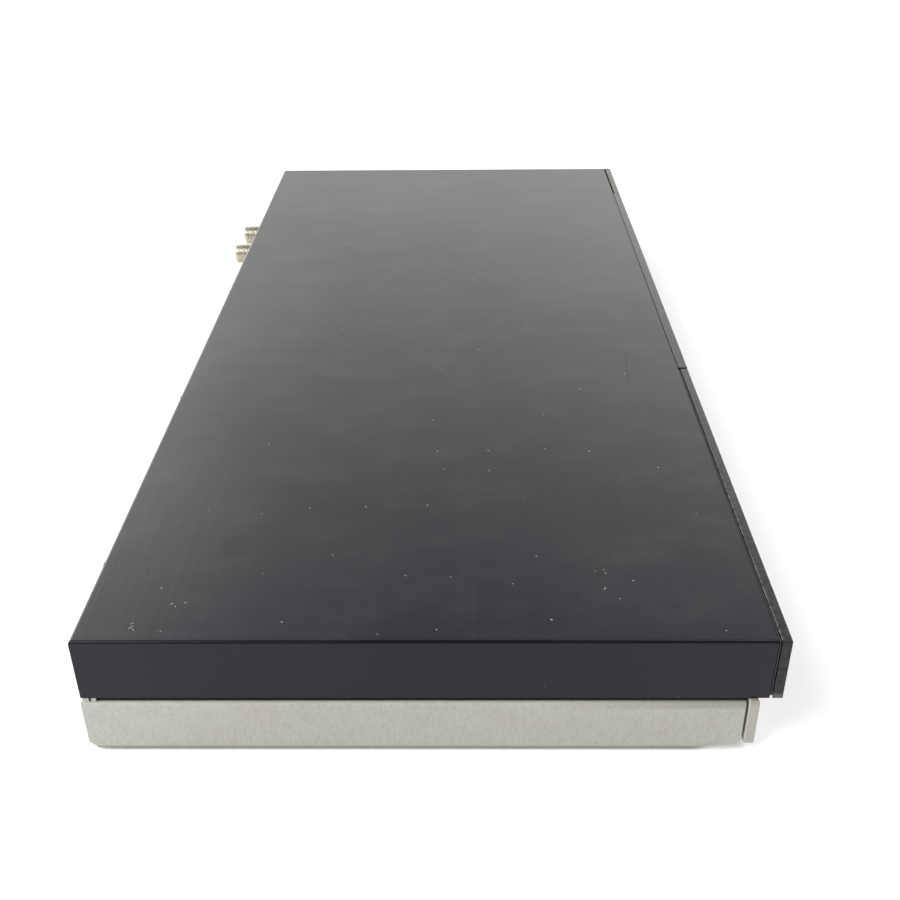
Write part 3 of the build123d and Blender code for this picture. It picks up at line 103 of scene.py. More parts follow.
# %% Shader maths
class Value:
    """The output of a node, which the usual operators work on."""

    def __init__(self, network, socket):
        self.network = network
        self.socket = socket

    def sum(self, operation, first, second=None, clamp=False):
        """A Math node on one or two values or numbers."""
        inputs = {0: first} if second is None else {0: first, 1: second}
        return self.network.node("ShaderNodeMath", {"operation": operation, "use_clamp": clamp}, inputs)

    def __add__(self, other):
        return self.sum("ADD", self, other)

    def __radd__(self, other):
        return self.sum("ADD", other, self)

    def __sub__(self, other):
        return self.sum("SUBTRACT", self, other)

    def __rsub__(self, other):
        return self.sum("SUBTRACT", other, self)

    def __mul__(self, other):
        return self.sum("MULTIPLY", self, other)

    def __rmul__(self, other):
        return self.sum("MULTIPLY", other, self)

    def __truediv__(self, other):
        return self.sum("DIVIDE", self, other)

    def __gt__(self, other):
        return self.sum("GREATER_THAN", self, other)

    def __lt__(self, other):
        return self.sum("LESS_THAN", self, other)

    def size(self):
        return self.sum("ABSOLUTE", self)

    def root(self):
        return self.sum("SQRT", self)

    def wave(self):
        return self.sum("SINE", self)

    def most(self, other):
        return self.sum("MAXIMUM", self, other)

    def clamp(self):
        return self.sum("ADD", self, 0.0, clamp=True)

    def ramp(self, low, high):
        """0 below low, 1 above high, and a smooth step between them."""
        return self.network.node(
            "ShaderNodeMapRange", {"interpolation_type": "SMOOTHSTEP"},
            {"Value": self, "From Min": low, "From Max": high})


def apart(first, second):
    """The distance that two offsets at right angles to each other give."""
    return (first * first + second * second).root()


# %% [markdown]
# The network itself comes from one method, which takes the kind of node, its settings and what its
# sockets get. The room is such a network, and so is every finish. Patterns read Object coordinates, and
# every object sits at the origin, so a pattern is in metres of the real thing and stays on its piece
# when the piece moves.

# %% Networks
class Network:
    """A tree of nodes, with a method for each kind of pattern."""

    def __init__(self, tree):
        self.tree = tree

    def node(self, kind, settings=None, inputs=None, out=0):
        """A node of any kind: its settings, then the values or links of its sockets, then its output."""
        made = self.tree.nodes.new(kind)
        for name, value in (settings or {}).items():
            if name == "stops":
                for place, colour in value[2:]:
                    made.color_ramp.elements.new(place)
                for stop, (place, colour) in zip(made.color_ramp.elements, value):
                    stop.position = place
                    stop.color = (*colour, 1.0)
            else:
                setattr(made, name, value)
        for place, value in (inputs or {}).items():
            if isinstance(value, Value):
                self.tree.links.new(value.socket, made.inputs[place])
            else:
                made.inputs[place].default_value = value
        return Value(self, made.outputs[out])

    def place(self, scale=(1.0, 1.0, 1.0), turn=(0.0, 0.0, 0.0)):
        """The place on the object, in metres, stretched or turned."""
        spot = self.node("ShaderNodeTexCoord", out="Object")
        return self.node("ShaderNodeMapping", {}, {"Vector": spot, "Rotation": turn, "Scale": scale})

    def xyz(self, vector=None):
        """The three parts of a vector, or of the place."""
        made = self.tree.nodes.new("ShaderNodeSeparateXYZ")
        self.tree.links.new((vector or self.place()).socket, made.inputs[0])
        return [Value(self, socket) for socket in made.outputs]

    def noise(self, scale, vector=None, detail=2.0, roughness=0.5):
        """Soft clouds, about one in 1 / scale metres."""
        return self.node(
            "ShaderNodeTexNoise", {},
            {"Vector": vector or self.place(), "Scale": scale, "Detail": detail, "Roughness": roughness},
            out="Fac")

    def cells(self, scale, vector=None, feature="F1", out="Distance", spread=1.0):
        """Rounded cells, about one in 1 / scale metres."""
        return self.node(
            "ShaderNodeTexVoronoi", {"feature": feature},
            {"Vector": vector or self.place(), "Scale": scale, "Randomness": spread}, out=out)

    def specks(self, scale, radius, share, vector=None):
        """Round specks of several sizes, at most one in a square of 1 / scale metres."""
        flat = {"voronoi_dimensions": "2D"}
        where = {"Vector": vector or self.place(), "Scale": scale}
        away = self.node("ShaderNodeTexVoronoi", flat, where)
        picks = self.xyz(self.node("ShaderNodeTexVoronoi", flat, where, out="Color"))
        size = (picks[1] * 0.7 + 0.3) * (radius * scale)
        return (1 - (away / size).ramp(0.5, 1.0)) * (picks[0] < share)

    def mix(self, factor, first, second):
        """The first colour where the factor is 0, and the second where it is 1."""
        first, second = [
            value if isinstance(value, Value) else (*value, 1.0) for value in (first, second)]
        return self.node("ShaderNodeMix", {"data_type": "RGBA"}, {0: factor, 6: first, 7: second}, out=2)


# %% [markdown]
# A finish is such a network on a new material, and it ends in the Principled shader. What is the same
# all over a surface is set on the shader's own socket, and what varies is fed to it. Scratches could be
# drawn on an image. Here each is the distance from a short straight line, because that stays sharp at
# any size.

# %% Finishes
class Finish(Network):
    """A material whose shader gets constants by name and patterns by feed and relief."""

    def __init__(self, name, **constants):
        self.material = bpy.data.materials.new(name)
        self.material.use_nodes = True
        super().__init__(self.material.node_tree)
        self.shader = self.tree.nodes["Principled BSDF"]
        for socket, value in constants.items():
            self.shader.inputs[socket.replace("_", " ")].default_value = value

    def scratch(self, start, end, half_width):
        """1 on a straight line across the top, from start to end in mm, and 0 off it."""
        x, y, _ = self.xyz()
        run = Vector(end) * MM - Vector(start) * MM
        away_x = x - start[0] * MM
        away_y = y - start[1] * MM
        along = ((away_x * run.x + away_y * run.y) / run.length_squared).clamp()
        off_x = away_x - along * run.x
        off_y = away_y - along * run.y
        return 1 - apart(off_x, off_y).ramp(0.0, half_width * MM)

    def marks(self, lines):
        """1 on any of several lines, each a start, an end and half a width in mm."""
        mask = self.scratch(*lines[0])
        for line in lines[1:]:
            mask = mask.most(self.scratch(*line))
        return mask

    def relief(self, height, distance, strength=1.0):
        """Bump from a height of 0 to 1, which stands for a distance in metres."""
        bump = self.node(
            "ShaderNodeBump", {}, {"Height": height, "Distance": distance, "Strength": strength})
        self.feed("Normal", bump)

    def feed(self, socket, value):
        """Links a pattern to a socket of the shader."""
        self.tree.links.new(value.socket, self.shader.inputs[socket])


finishes = {}


def paint(finish, *node_names):
    """Gives a finish to CAD nodes, by name."""
    for name in node_names:
        for slot in nodes[name].material_slots:
            slot.material = finish.material
        finishes[name] = finish.material.name
    print(finish.material.name, "on", ", ".join(node_names))


def dimmed(colour, share):
    """A colour at a share of its brightness."""
    return [value * share for value in colour]


# %% [markdown]
# The recorder stands on a white table. A backdrop that curves up would give a white ground too, but it
# would also show in the gloss of the cover, so this is one large flat sheet. It glows a little, more so
# far away, which keeps it white up to its horizon, where no lamp reaches.

# %% Floor
floor_size = 6.0
floor_mesh = bpy.data.meshes.new("floor")
bm = bmesh.new()
bmesh.ops.create_grid(bm, x_segments=1, y_segments=1, size=floor_size)
bm.to_mesh(floor_mesh)
bm.free()
floor = bpy.data.objects.new("floor", floor_mesh)
bpy.context.scene.collection.objects.link(floor)
table = Finish("table_white", Roughness=0.8, Emission_Strength=1.0)
table_x, table_y, _ = table.xyz()
far_away = apart(table_x, table_y).ramp(0.9, 4.0)
table.feed("Emission Color", table.mix(far_away, (0.17, 0.168, 0.165), (0.7, 0.7, 0.7)))
table.feed("Base Color", table.mix(table.noise(1.5, detail=1.0), (0.83, 0.83, 0.82), (0.85, 0.85, 0.845)))
floor_mesh.materials.append(table.material)
floor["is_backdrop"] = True
print("floor", [round(side, 2) for side in floor.dimensions], "m")

# %% [markdown]
# The satin cover mirrors the room past its far end, so that is where the light matters: bright up to
# about 36 degrees above the table, brighter still to the left, and dark overhead, which shades the cover
# from light at its far end to dark at its near end and leaves a black line along the bend of its near
# edge. The near side of the room is dim and a little blue, and a band low behind the camera is dimmer
# and neutral, so that the near faces aren't lit too blue. Cards and lamps could build such a room. Two
# ramps by height and a few masks by bearing do it on the world itself, and each is easy to change.

# %% Room
room_world = bpy.data.worlds.new("room")
bpy.context.scene.world = room_world
room_world.use_nodes = True
room = Network(room_world.node_tree)
toward_x, toward_y, toward_z = room.xyz(room.node("ShaderNodeTexCoord", out="Generated"))
bearing = room.node("ShaderNodeMath", {"operation": "ARCTAN2"}, {0: toward_y, 1: toward_x})
brightest = 4.0
far_stops = [
    (0.00, (1.40, 1.39, 1.33)), (0.28, (1.76, 1.74, 1.65)), (0.46, (1.72, 1.71, 1.67)),
    (0.54, (1.48, 1.49, 1.49)), (0.60, (1.00, 1.02, 1.08)), (0.64, (0.52, 0.54, 0.62)),
    (0.72, (0.18, 0.19, 0.22)), (1.00, (0.09, 0.09, 0.10)),
]
near_stops = [
    (0.00, (0.41, 0.42, 0.46)), (0.50, (0.36, 0.375, 0.42)), (0.70, (0.15, 0.155, 0.18)),
    (1.00, (0.09, 0.09, 0.10)),
]


def room_shade(stops):
    """The colour of the room by height, from stops of up to the brightest value."""
    scaled = [(place, [value / brightest for value in shade]) for place, shade in stops]
    return room.node("ShaderNodeValToRGB", {"stops": scaled}, {0: toward_z}, out="Color")


def room_gain(shade, gain):
    """A colour made brighter by a factor that may vary."""
    return room.node("ShaderNodeVectorMath", {"operation": "SCALE"}, {0: shade, "Scale": gain})


def off_ahead(start, end):
    """0 up to a bearing of start degrees from the far end, on either side, and 1 past end degrees."""
    return bearing.size().ramp(math.radians(start), math.radians(end))


left_glow = bearing.ramp(math.radians(12), math.radians(23)) * 1.5
right_glow = (0 - bearing).ramp(math.radians(3), math.radians(14)) * 0.22
far_shade = room_gain(room_shade(far_stops), (left_glow + right_glow) * (1 - off_ahead(45, 80)) + 1.0)
near_shade = room_gain(room_shade(near_stops), (1 - off_ahead(125, 155)) * 2.4 + 1.0)
low_behind = (1 - toward_z.ramp(0.10, 0.20)) * off_ahead(125, 155)
near_shade = room.mix(low_behind, near_shade, (0.26, 0.26, 0.26))
shade = room.mix(off_ahead(60, 100), far_shade, near_shade)
background = room_world.node_tree.nodes["Background"]
room.tree.links.new(shade.socket, background.inputs["Color"])
background.inputs["Strength"].default_value = brightest
print("room:", len(far_stops), "stops for its far side,", len(near_stops), "for its near side")

# %% [markdown]
# Two large soft lamps hang behind and before the recorder, clear of what the bend of its near edge
# mirrors. The room alone would light it without a shadow, and the sun would give a hard one. An area
# lamp's size sets how soft its shadow is.

# %% Lamps
def hang_lamp(name, place, size, energy, colour):
    """A square area lamp that faces the recorder."""
    light = bpy.data.lights.new(name, "AREA")
    light.shape = "SQUARE"
    light.size = size
    light.energy = energy
    light.color = colour
    hung = bpy.data.objects.new(name, light)
    facing = Vector(place).to_track_quat("Z", "Y").to_matrix().to_4x4()
    hung.matrix_world = Matrix.Translation(place) @ facing
    bpy.context.scene.collection.objects.link(hung)
    print(name, energy, "W at", place)


hang_lamp("rear_lamp", (-0.7, 1.15, 1.4), 1.2, 34.0, (1.0, 0.99, 0.97))
hang_lamp("front_lamp", (0.1, -1.1, 1.8), 1.4, 20.0, (1.0, 1.0, 1.0))

# %% [markdown]
# The cover is steel sheet with a satin black paint, a little blue. Close to, the paint is a fine even
# grain. It has faint streaks along its length where it was wiped, soft smears across it, and dust in
# scattered specks. These could be painted on an image that is wrapped round the piece. Noise stretched
# one way or the other gives streaks and smears, and cells of which most stay empty give the dust, at any
# size and with no seam.

# %% Top cover: patterns
cover = Finish("cover_black", IOR=1.34, Coat_IOR=1.35, Coat_Roughness=0.3)
x, y, z = cover.xyz()
top_above = 0.0385
on_top = z > top_above
streaks = cover.noise(1.0, cover.place(scale=(7.0, 750.0, 750.0)), detail=3.0, roughness=0.65)
smears = cover.noise(1.0, cover.place(scale=(75.0, 40.0, 60.0)), detail=5.0, roughness=0.62)
patches = cover.noise(11.0, detail=3.0, roughness=0.55)
grain = cover.noise(2600.0, detail=2.0)
upright = cover.place(turn=(0.0, math.pi / 2, 0.0))
top_dust = cover.specks(52.0, 0.00036, 0.5) * on_top
dust = top_dust + cover.specks(52.0, 0.0003, 0.25, upright) * (1 - on_top)
fine_dust = cover.specks(190.0, 0.00016, 0.3) * on_top
# Painted shade: a black line painted along the bend of the near edge.
cover_bend_shade = (1 - x.ramp(-0.2139, -0.2130)) * z.ramp(0.0378, 0.0385)
near_rear = (1 - x.ramp(-0.215, -0.09)) * y.ramp(0.045, 0.09)
print("cover:", len(cover.tree.nodes), "nodes for its patterns")

# %% [markdown]
# The marks of use are few, and each sits where it shows: hairline scratches and crumbs are short lines
# across the top, in millimetres, and one small square is duller. A random pattern couldn't put them in
# their places.

# %% Top cover: marks
hairlines = [
    ((-119.5, 85.8), (-118.2, 82.3), 0.35), ((-163.1, 78.4), (-162.2, 75.5), 0.3),
    ((-162.2, 75.5), (-159.4, 71.8), 0.3), ((-209.2, 71.2), (-206.2, 65.4), 0.25),
    ((-206.2, 65.4), (-203.7, 59.9), 0.25), ((-114.7, -33.8), (-113.4, -39.7), 0.3),
    ((-113.4, -39.7), (-109.1, -47.7), 0.35), ((-109.1, -47.7), (-105.1, -56.9), 0.25),
    ((-36.9, -80.1), (-65.7, -77.7), 0.25), ((12.7, -84.0), (10.2, -92.0), 0.3),
    ((-160.4, -14.5), (-164.1, -18.8), 0.4), ((-129.0, -46.2), (-130.9, -53.3), 0.45),
]
crumbs = [
    ((-208.5, 76.3), (-207.6, 75.6), 0.3), ((-209.3, 74.9), (-208.8, 75.3), 0.25),
    ((-206.6, 76.2), (-206.2, 75.7), 0.25), ((-198.0, 67.2), (-197.7, 66.9), 0.35),
    ((-199.2, 65.8), (-198.9, 65.9), 0.25), ((-197.5, 63.4), (-197.2, 63.2), 0.3),
    ((-191.4, -54.8), (-190.9, -55.0), 0.35), ((-184.2, -55.9), (-183.6, -55.8), 0.25),
    ((-182.4, -55.5), (-182.2, -55.6), 0.25), ((-195.9, -58.6), (-195.7, -58.5), 0.3),
    ((-185.2, 1.7), (-184.8, 2.3), 0.2), ((-175.8, -36.5), (-175.5, -36.3), 0.3),
    ((-175.0, 24.0), (-174.6, 24.3), 0.25), ((-127.5, -23.4), (-127.1, -23.3), 0.3),
]
scratches = cover.marks(hairlines) * on_top
crumb_spots = cover.marks(crumbs) * on_top
dull_square = (
    (1 - (x + 0.1704).size().ramp(0.0045, 0.0055)) * (1 - (y - 0.054).size().ramp(0.0035, 0.0045)))
print("cover:", len(hairlines), "hairlines and", len(crumbs), "crumbs")

# %% [markdown]
# Each mask now mixes the paint towards another tone, from the broadest to the finest: patches, smears,
# wiped streaks, dust and crumbs, then scratches and a painted shade: a black line painted along the bend
# of the near edge. The upright sides mirror the white table, and their paint is painted darker and bluer
# than the top's, as painted shade. The same masks change the gloss, and a greasy film comes as a thin
# coat over the paint.

# %% Top cover: colour and gloss
wiped = streaks.ramp(0.42, 0.72) * (near_rear * 0.32 + 0.08) * on_top
body_colour = cover.mix(patches.ramp(0.35, 0.7), (0.0026, 0.0036, 0.0060), (0.0046, 0.0054, 0.0076))
body_colour = cover.mix(smears.ramp(0.5, 0.75) * 0.3 * on_top, body_colour, (0.014, 0.014, 0.014))
body_colour = cover.mix(wiped, body_colour, (0.030, 0.030, 0.029))
body_colour = cover.mix(fine_dust * 0.25, body_colour, (0.25, 0.25, 0.24))
body_colour = cover.mix((dust * 0.75).most(crumb_spots * 0.5), body_colour, (0.42, 0.41, 0.38))
body_colour = cover.mix(
    (scratches * 0.6).most(dull_square * 0.3).most(cover_bend_shade), body_colour, (0.001, 0.001, 0.0015))
# Painted shade: the upright sides are painted darker and bluer than the top.
body_colour = cover.mix((1 - on_top) * 0.8 * (1 - dust), body_colour, (0.0010, 0.0021, 0.0074))
cover.feed("Base Color", body_colour)
gloss = 0.235 + streaks * 0.03 + patches * 0.04 + smears * 0.05 + near_rear * 0.04
cover.feed("Roughness", gloss + scratches * 0.2 + dust * 0.4 + dull_square * 0.02)
greasy = smears.ramp(0.4, 0.75) * 0.11 + patches.ramp(0.4, 0.7) * 0.07
cover.feed("Coat Weight", greasy * on_top * (1 - dull_square * 0.7))
cover.relief(grain + scratches * -0.6, 0.000008, 0.5)
paint(cover, "top_cover")

# %% [markdown]
# The pan under it is coated in a light warm grey with an embossed leather grain: small rounded cells
# with fine valleys, a little taller than wide. Displaced geometry would need millions of faces for it.
# Bump from cells and wrinkles together gives the uneven look, and the valleys are darker. The coat is
# painted paler to the rear, as painted light. Its turned-in flange, which shows only in the seam under the
# cover, its lowest edge, and its upper edge towards the front are painted darker, as painted shade.

# %% Base
base = Finish("base_grey", IOR=1.46)
base_x, base_y, base_z = base.xyz()
grain_place = base.place(scale=(1.0, 1.0, 0.55))
warp = base.node(
    "ShaderNodeVectorMath", {"operation": "MULTIPLY_ADD"},
    {0: base.node("ShaderNodeTexNoise", {}, {"Vector": grain_place, "Scale": 800.0}, out="Color"),
     1: (0.0009, 0.0009, 0.0009), 2: grain_place})
valleys = base.cells(1150.0, warp, feature="DISTANCE_TO_EDGE").ramp(0.0, 0.32)
wrinkles = base.noise(1.0, base.place(scale=(900.0, 1100.0, 420.0)), detail=3.0, roughness=0.6)
leather = valleys * 0.35 + wrinkles * 0.9
tone = base.noise(16.0, detail=3.0)
blush = base.noise(60.0, detail=3.0)
soil = base.noise(240.0, detail=3.0)
coat = base.mix(tone, (0.365, 0.365, 0.318), (0.405, 0.403, 0.353))
coat = base.mix(blush.ramp(0.45, 0.7) * 0.35, coat, (0.37, 0.345, 0.31))
# Painted light: the coat is painted paler towards the rear.
coat = base.mix(base_y.ramp(0.03, 0.095) * 0.4, coat, (0.47, 0.465, 0.41))
# The valleys and the low parts of the wrinkles are darker.
coat = base.mix((1 - valleys) * 0.14 + (1 - wrinkles.ramp(0.3, 0.6)) * 0.2, coat, (0.22, 0.212, 0.18))
coat = base.mix(soil.ramp(0.62, 0.8) * 0.2, coat, (0.27, 0.25, 0.21))
# Painted shade: the turned-in flange in the seam under the cover is painted nearly black.
seam_shade = (base_z > 0.0172) * (1 - base_x.size().ramp(0.2136, 0.2139))
coat = base.mix(seam_shade * 0.9, coat, (0.03, 0.029, 0.026))
# Painted shade: the lowest edge is painted darker.
coat = base.mix((1 - base_z.ramp(0.0010, 0.0021)) * 0.75, coat, (0.10, 0.095, 0.085))
# Painted shade: the upper edge is painted darker towards the front, below the cover.
shaded = (1 - base_y.ramp(-0.085, -0.035)) * base_z.ramp(0.0150, 0.0168)
coat = base.mix(shaded * 0.35, coat, (0.11, 0.105, 0.09))
base.feed("Base Color", coat)
base.feed("Roughness", 0.36 + (1 - valleys) * 0.2 + tone * 0.08)
base.relief(leather, 0.0001, 0.75)
paint(base, "base_chassis")

# %% [markdown]
# The strip under the front is a plastic moulding of nearly the same grey, so it has no leather grain but
# the fine stipple of its mould. Its rounded top is painted browner and darker, as painted shade, and a
# pale line along its rear edge is a painted highlight. It could share the finish of the base, but side
# by side the two would look like one piece.

# %% Lower front strip
strip = Finish("strip_grey", IOR=1.46)
stipple = strip.cells(2400.0, feature="SMOOTH_F1")
strip_tone = strip.noise(30.0, detail=3.0)
_, strip_y, strip_z = strip.xyz()
shaded_rounded_top = strip_z.ramp(0.0160, 0.0186)
strip_edge_highlight = strip_y.ramp(-0.0938, -0.0935)
strip_coat = strip.mix(strip_tone, (0.31, 0.298, 0.255), (0.36, 0.347, 0.30))
# Painted shade: the rounded top is painted browner and darker.
strip_coat = strip.mix(shaded_rounded_top * 0.65, strip_coat, (0.24, 0.205, 0.16))
# Painted highlight: a pale line along the rear edge.
strip_coat = strip.mix(strip_edge_highlight * 0.45, strip_coat, (0.65, 0.63, 0.58))
strip.feed("Base Color", strip_coat)
strip.feed("Roughness", 0.48 + stipple * 0.2)
strip.relief(1 - stipple, 0.00006, 0.7)
paint(strip, "lower_front_strip")

# %% [markdown]
# The front pieces are moulded in black and polished on the face alone. Their top and end edges keep
# the texture of the mould, matt and a little mottled, and hold some lint. A pale line along the rear
# edge of the top, towards the near end, is a painted highlight, the bend at that end is painted black as
# painted shade, and the lowest edge is a paler moulding line. Separate materials on each face would be
# the usual way, but the meshes of the CAD nodes are kept whole, so masks by place tell the faces apart.

# %% Front pieces
front_top = 0.0387
front = Finish("front_gloss", IOR=1.36)
front_x, front_y, front_z = front.xyz()
edge = front_y.ramp(-0.10235, -0.10215)
texture = front.cells(2300.0, feature="SMOOTH_F1")
haze = front.noise(35.0, detail=3.0)
lint = (front.specks(120.0, 0.00016, 0.4, front.place(turn=(math.pi / 2, 0.0, 0.0)))
        + front.specks(160.0, 0.00016, 0.5) * edge * (front_z > top_above))
outside = (front_z > front_top).most(front_x.size() > 0.2138)
mottle = (front.noise(700.0, detail=3.0) - 0.5) * outside + 0.5
matt_black = front.mix(mottle.ramp(0.35, 0.65), (0.001, 0.0015, 0.002), (0.018, 0.018, 0.019))
black = front.mix(edge, (0.004, 0.004, 0.005), matt_black)
mould_line = (1 - front_z.ramp(0.0203, 0.0206)) * edge
black = front.mix(mould_line * 0.6, black, (0.13, 0.105, 0.085))
black = front.mix(lint * 0.3, black, (0.3, 0.29, 0.27))
# Painted highlight: a pale line along the rear edge of the top, towards the near end.
front_edge_highlight = (front_z > front_top) * front_y.ramp(-0.10000, -0.09990) * (1 - front_x.ramp(-0.17, -0.07))
black = front.mix(front_edge_highlight * (mottle * 2.4 - 0.7).clamp(), black, (0.14, 0.137, 0.13))
# Painted shade: a black line painted along the bend of the near end.
front_bend_shade = (1 - front_x.ramp(-0.2140, -0.2134)) * front_z.ramp(0.0380, 0.0386)
black = front.mix(front_bend_shade, black, (0.0005, 0.0005, 0.0007))
front.feed("Base Color", black)
front.feed("Roughness", 0.09 + haze * 0.07 + edge * (0.06 + mottle * 0.16 - front_bend_shade * 0.05))
front.relief((1 - texture) * edge + mottle * edge * 0.8, 0.000012, 0.45)
paint(front, "tray_bezel", "right_panel", "flap_door")

# %% [markdown]
# Most other plastic comes from a mould with an even stipple, shows faint flow marks, and is a little
# darker where hands were. Only the colour, the gloss and the size of the stipple differ from part to
# part, so one helper makes them all.

# %% Moulded plastic
def moulded(name, colour, rough=0.45, cell=1800.0, **constants):
    """Moulded plastic: an even stipple from the mould, faint flow marks and a little handling."""
    finish = Finish(name, **constants)
    stipple = finish.cells(cell, feature="SMOOTH_F1")
    flow = finish.noise(1.0, finish.place(scale=(30.0, 140.0, 140.0)), detail=3.0)
    wear = finish.noise(90.0, detail=4.0)
    pale = tuple(min(1.0, value * 1.35 + 0.006) for value in colour)
    shade = finish.mix(flow.ramp(0.3, 0.75), colour, pale)
    finish.feed("Base Color", finish.mix(wear.ramp(0.6, 0.8) * 0.25, shade, dimmed(colour, 0.7)))
    finish.feed("Roughness", rough + stipple * 0.12 + wear * 0.08)
    finish.relief(1 - stipple, 0.00003, 0.6)
    return finish


# %% [markdown]
# The frame behind the front pieces shows only as a lip in the seam. A pale line along its front edge is
# a painted highlight, and the rest is painted nearly black, as painted shade in the seam. A strip of
# another colour could be laid on it, but a mask by place adds no piece. The two buttons are the same
# plastic, smoother and with a thin lacquer.

# %% Frame lip and buttons
lip_depth = 0.27 * MM
skin = 0.04 * MM
lip = moulded("frame_plastic", (0.03, 0.03, 0.03))
lip_low, lip_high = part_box("front_frame")
lip_x, lip_y, lip_z = lip.xyz()
edge_highlight_breakup = lip.noise(260.0, detail=3.0).ramp(0.3, 0.7) * 0.6 + 0.4
outer = (lip_z > lip_high.z - skin).most(lip_x < lip_low.x + skin)
# Painted highlight on the outer front edges, broken by noise; the rest is painted nearly black as painted
# shade.
pale = outer * (lip_y < lip_low.y + lip_depth) * edge_highlight_breakup
lip.feed("Base Color", lip.mix(pale, (0.006, 0.006, 0.006), (0.16, 0.157, 0.15)))
paint(lip, "front_frame")
paint(
    moulded("button_black", (0.02, 0.02, 0.022), rough=0.2, Coat_Weight=0.4),
    "power_button", "eject_button")

# %% [markdown]
# The window is smoked acrylic: nearly black from outside, with the display faint behind it. Real glass
# would need light to pass through it, which is slow, so it is an opaque gloss with some alpha. The
# display is a glass sandwich with pale segments, drawn here as even bars, not as figures.

# %% Window and display
smoked = Finish("smoked_window", IOR=1.49, Alpha=0.82)
smear = smoked.noise(60.0, detail=4.0)
smoked.feed("Base Color", smoked.mix(smear, (0.008, 0.007, 0.008), (0.014, 0.012, 0.012)))
smoked.feed("Roughness", 0.05 + smear * 0.07)
paint(smoked, "display_window")

display = Finish("display_glass", IOR=1.5)
bars = display.node(
    "ShaderNodeTexBrick", {"offset": 0.0},
    {"Vector": display.place(turn=(math.pi / 2, 0.0, 0.0)), "Scale": 100.0,
     "Mortar Size": 0.06, "Brick Width": 0.32, "Row Height": 0.28, "Color1": (0.05, 0.07, 0.065, 1.0),
     "Color2": (0.075, 0.10, 0.09, 1.0), "Mortar": (0.012, 0.016, 0.016, 1.0)}, out="Color")
display.feed("Base Color", bars)
display.feed("Roughness", 0.06 + display.noise(50.0) * 0.05)
paint(display, "display_module")

# %% [markdown]
# Sheet metal inside and behind is plated. Zinc grows in soft spangles, tin is smoother with fine
# rolling marks, and stamped shells show faint brushing. Each could be a finish of its own. One helper
# makes them all from a colour, a gloss and the direction of the rolling, because that is all that tells
# them apart.

# %% Metals
def plated(name, colour, rough=0.3, rolling=(4.0, 420.0, 420.0), spangle=0.0):
    """Plated or rolled sheet: rolling marks, a slow change of tone, dull spots and, for zinc, spangles."""
    finish = Finish(name)
    marks = finish.noise(1.0, finish.place(scale=rolling), detail=4.0, roughness=0.65)
    slow = finish.noise(40.0, detail=3.0)
    dull = finish.noise(420.0, detail=4.0)
    flakes = finish.xyz(finish.cells(260.0, out="Color"))[0]
    shade = finish.mix(slow.ramp(0.3, 0.7), colour, dimmed(colour, 0.8))
    shade = finish.mix(flakes * spangle, shade, dimmed(colour, 0.72))
    shade = finish.mix(dull.ramp(0.62, 0.8) * 0.3, shade, dimmed(colour, 0.5))
    finish.feed("Base Color", shade)
    finish.feed("Metallic", 1.0 - dull.ramp(0.65, 0.85) * 0.25)
    finish.feed("Roughness", rough + marks * 0.14 + flakes * spangle * 0.2 + dull * 0.08)
    finish.relief(marks, 0.000006, 0.6)
    return finish


paint(plated("rear_steel", (0.34, 0.34, 0.335), 0.36, spangle=0.25), "rear_panel", "socket_panel")
paint(plated("socket_steel", (0.62, 0.61, 0.59), 0.22), "lan_socket", "hdmi_socket", "front_usb_socket")
paint(plated("tin_plate", (0.64, 0.64, 0.62), 0.28), "antenna_block", "card_reader")
paint(
    plated("zinc_sheet", (0.58, 0.59, 0.60), 0.32, spangle=0.5),
    "disk_drive_bracket", "drive_lid", "traverse_plate")
paint(plated("zinc_screw", (0.6, 0.58, 0.52), 0.28, (200.0, 200.0, 200.0)), "board_screws")
paint(plated("disk_lid", (0.62, 0.62, 0.63), 0.25, (300.0, 5.0, 300.0)), "disk_drive_lid")
paint(plated("polished_rod", (0.7, 0.7, 0.7), 0.1, (900.0, 40.0, 900.0)), "guide_rods", "lead_screw")
paint(
    plated("motor_can", (0.55, 0.55, 0.55), 0.24, (60.0, 60.0, 900.0)),
    "spindle_motor", "sled_motor", "loading_motor")
paint(
    plated("sink_aluminium", (0.68, 0.68, 0.69), 0.3, (700.0, 6.0, 700.0)),
    "main_heat_sink", "power_heat_sink")

# %% [markdown]
# The screws of the cover are blackened steel, and the driver wears them bright. The hard disk's case and
# the sled are die-cast, with a blasted skin. Neither has rolling marks, so each gets a finish of its own.

# %% Screws and castings
screw = Finish("dark_screw", IOR=1.5)
turning = screw.noise(1500.0, detail=3.0)
worn = screw.noise(500.0, detail=4.0).ramp(0.58, 0.72)
screw.feed("Base Color", screw.mix(worn * 0.6, (0.02, 0.02, 0.022), (0.35, 0.34, 0.32)))
screw.feed("Metallic", 0.7 + worn * 0.3)
screw.feed("Roughness", 0.35 + turning * 0.2)
paint(screw, "cover_screws")


def cast(name, colour, metallic):
    """Die-cast metal: blasted skin with small pits and a few smoother spots."""
    finish = Finish(name)
    skin = finish.noise(1300.0, detail=4.0, roughness=0.6)
    pits = finish.cells(700.0).ramp(0.05, 0.2)
    slow = finish.noise(30.0, detail=2.0)
    finish.feed("Base Color", finish.mix(slow, colour, dimmed(colour, 0.82)))
    finish.feed("Metallic", metallic - (1 - pits) * 0.2)
    finish.feed("Roughness", 0.4 + skin * 0.22)
    finish.relief(skin * 0.6 + pits * 0.5, 0.00004, 0.7)
    return finish


paint(cast("cast_case", (0.36, 0.36, 0.37), 0.9), "disk_drive_case")
paint(cast("cast_sled", (0.40, 0.40, 0.41), 0.9), "pickup_sled")

# %% [markdown]
# The rear sockets are black mouldings, apart from the metal shells. The pins of the mains inlet belong
# to its solid. They could be covered by new pieces, but a mask round the two axes turns them to bright
# metal with none.

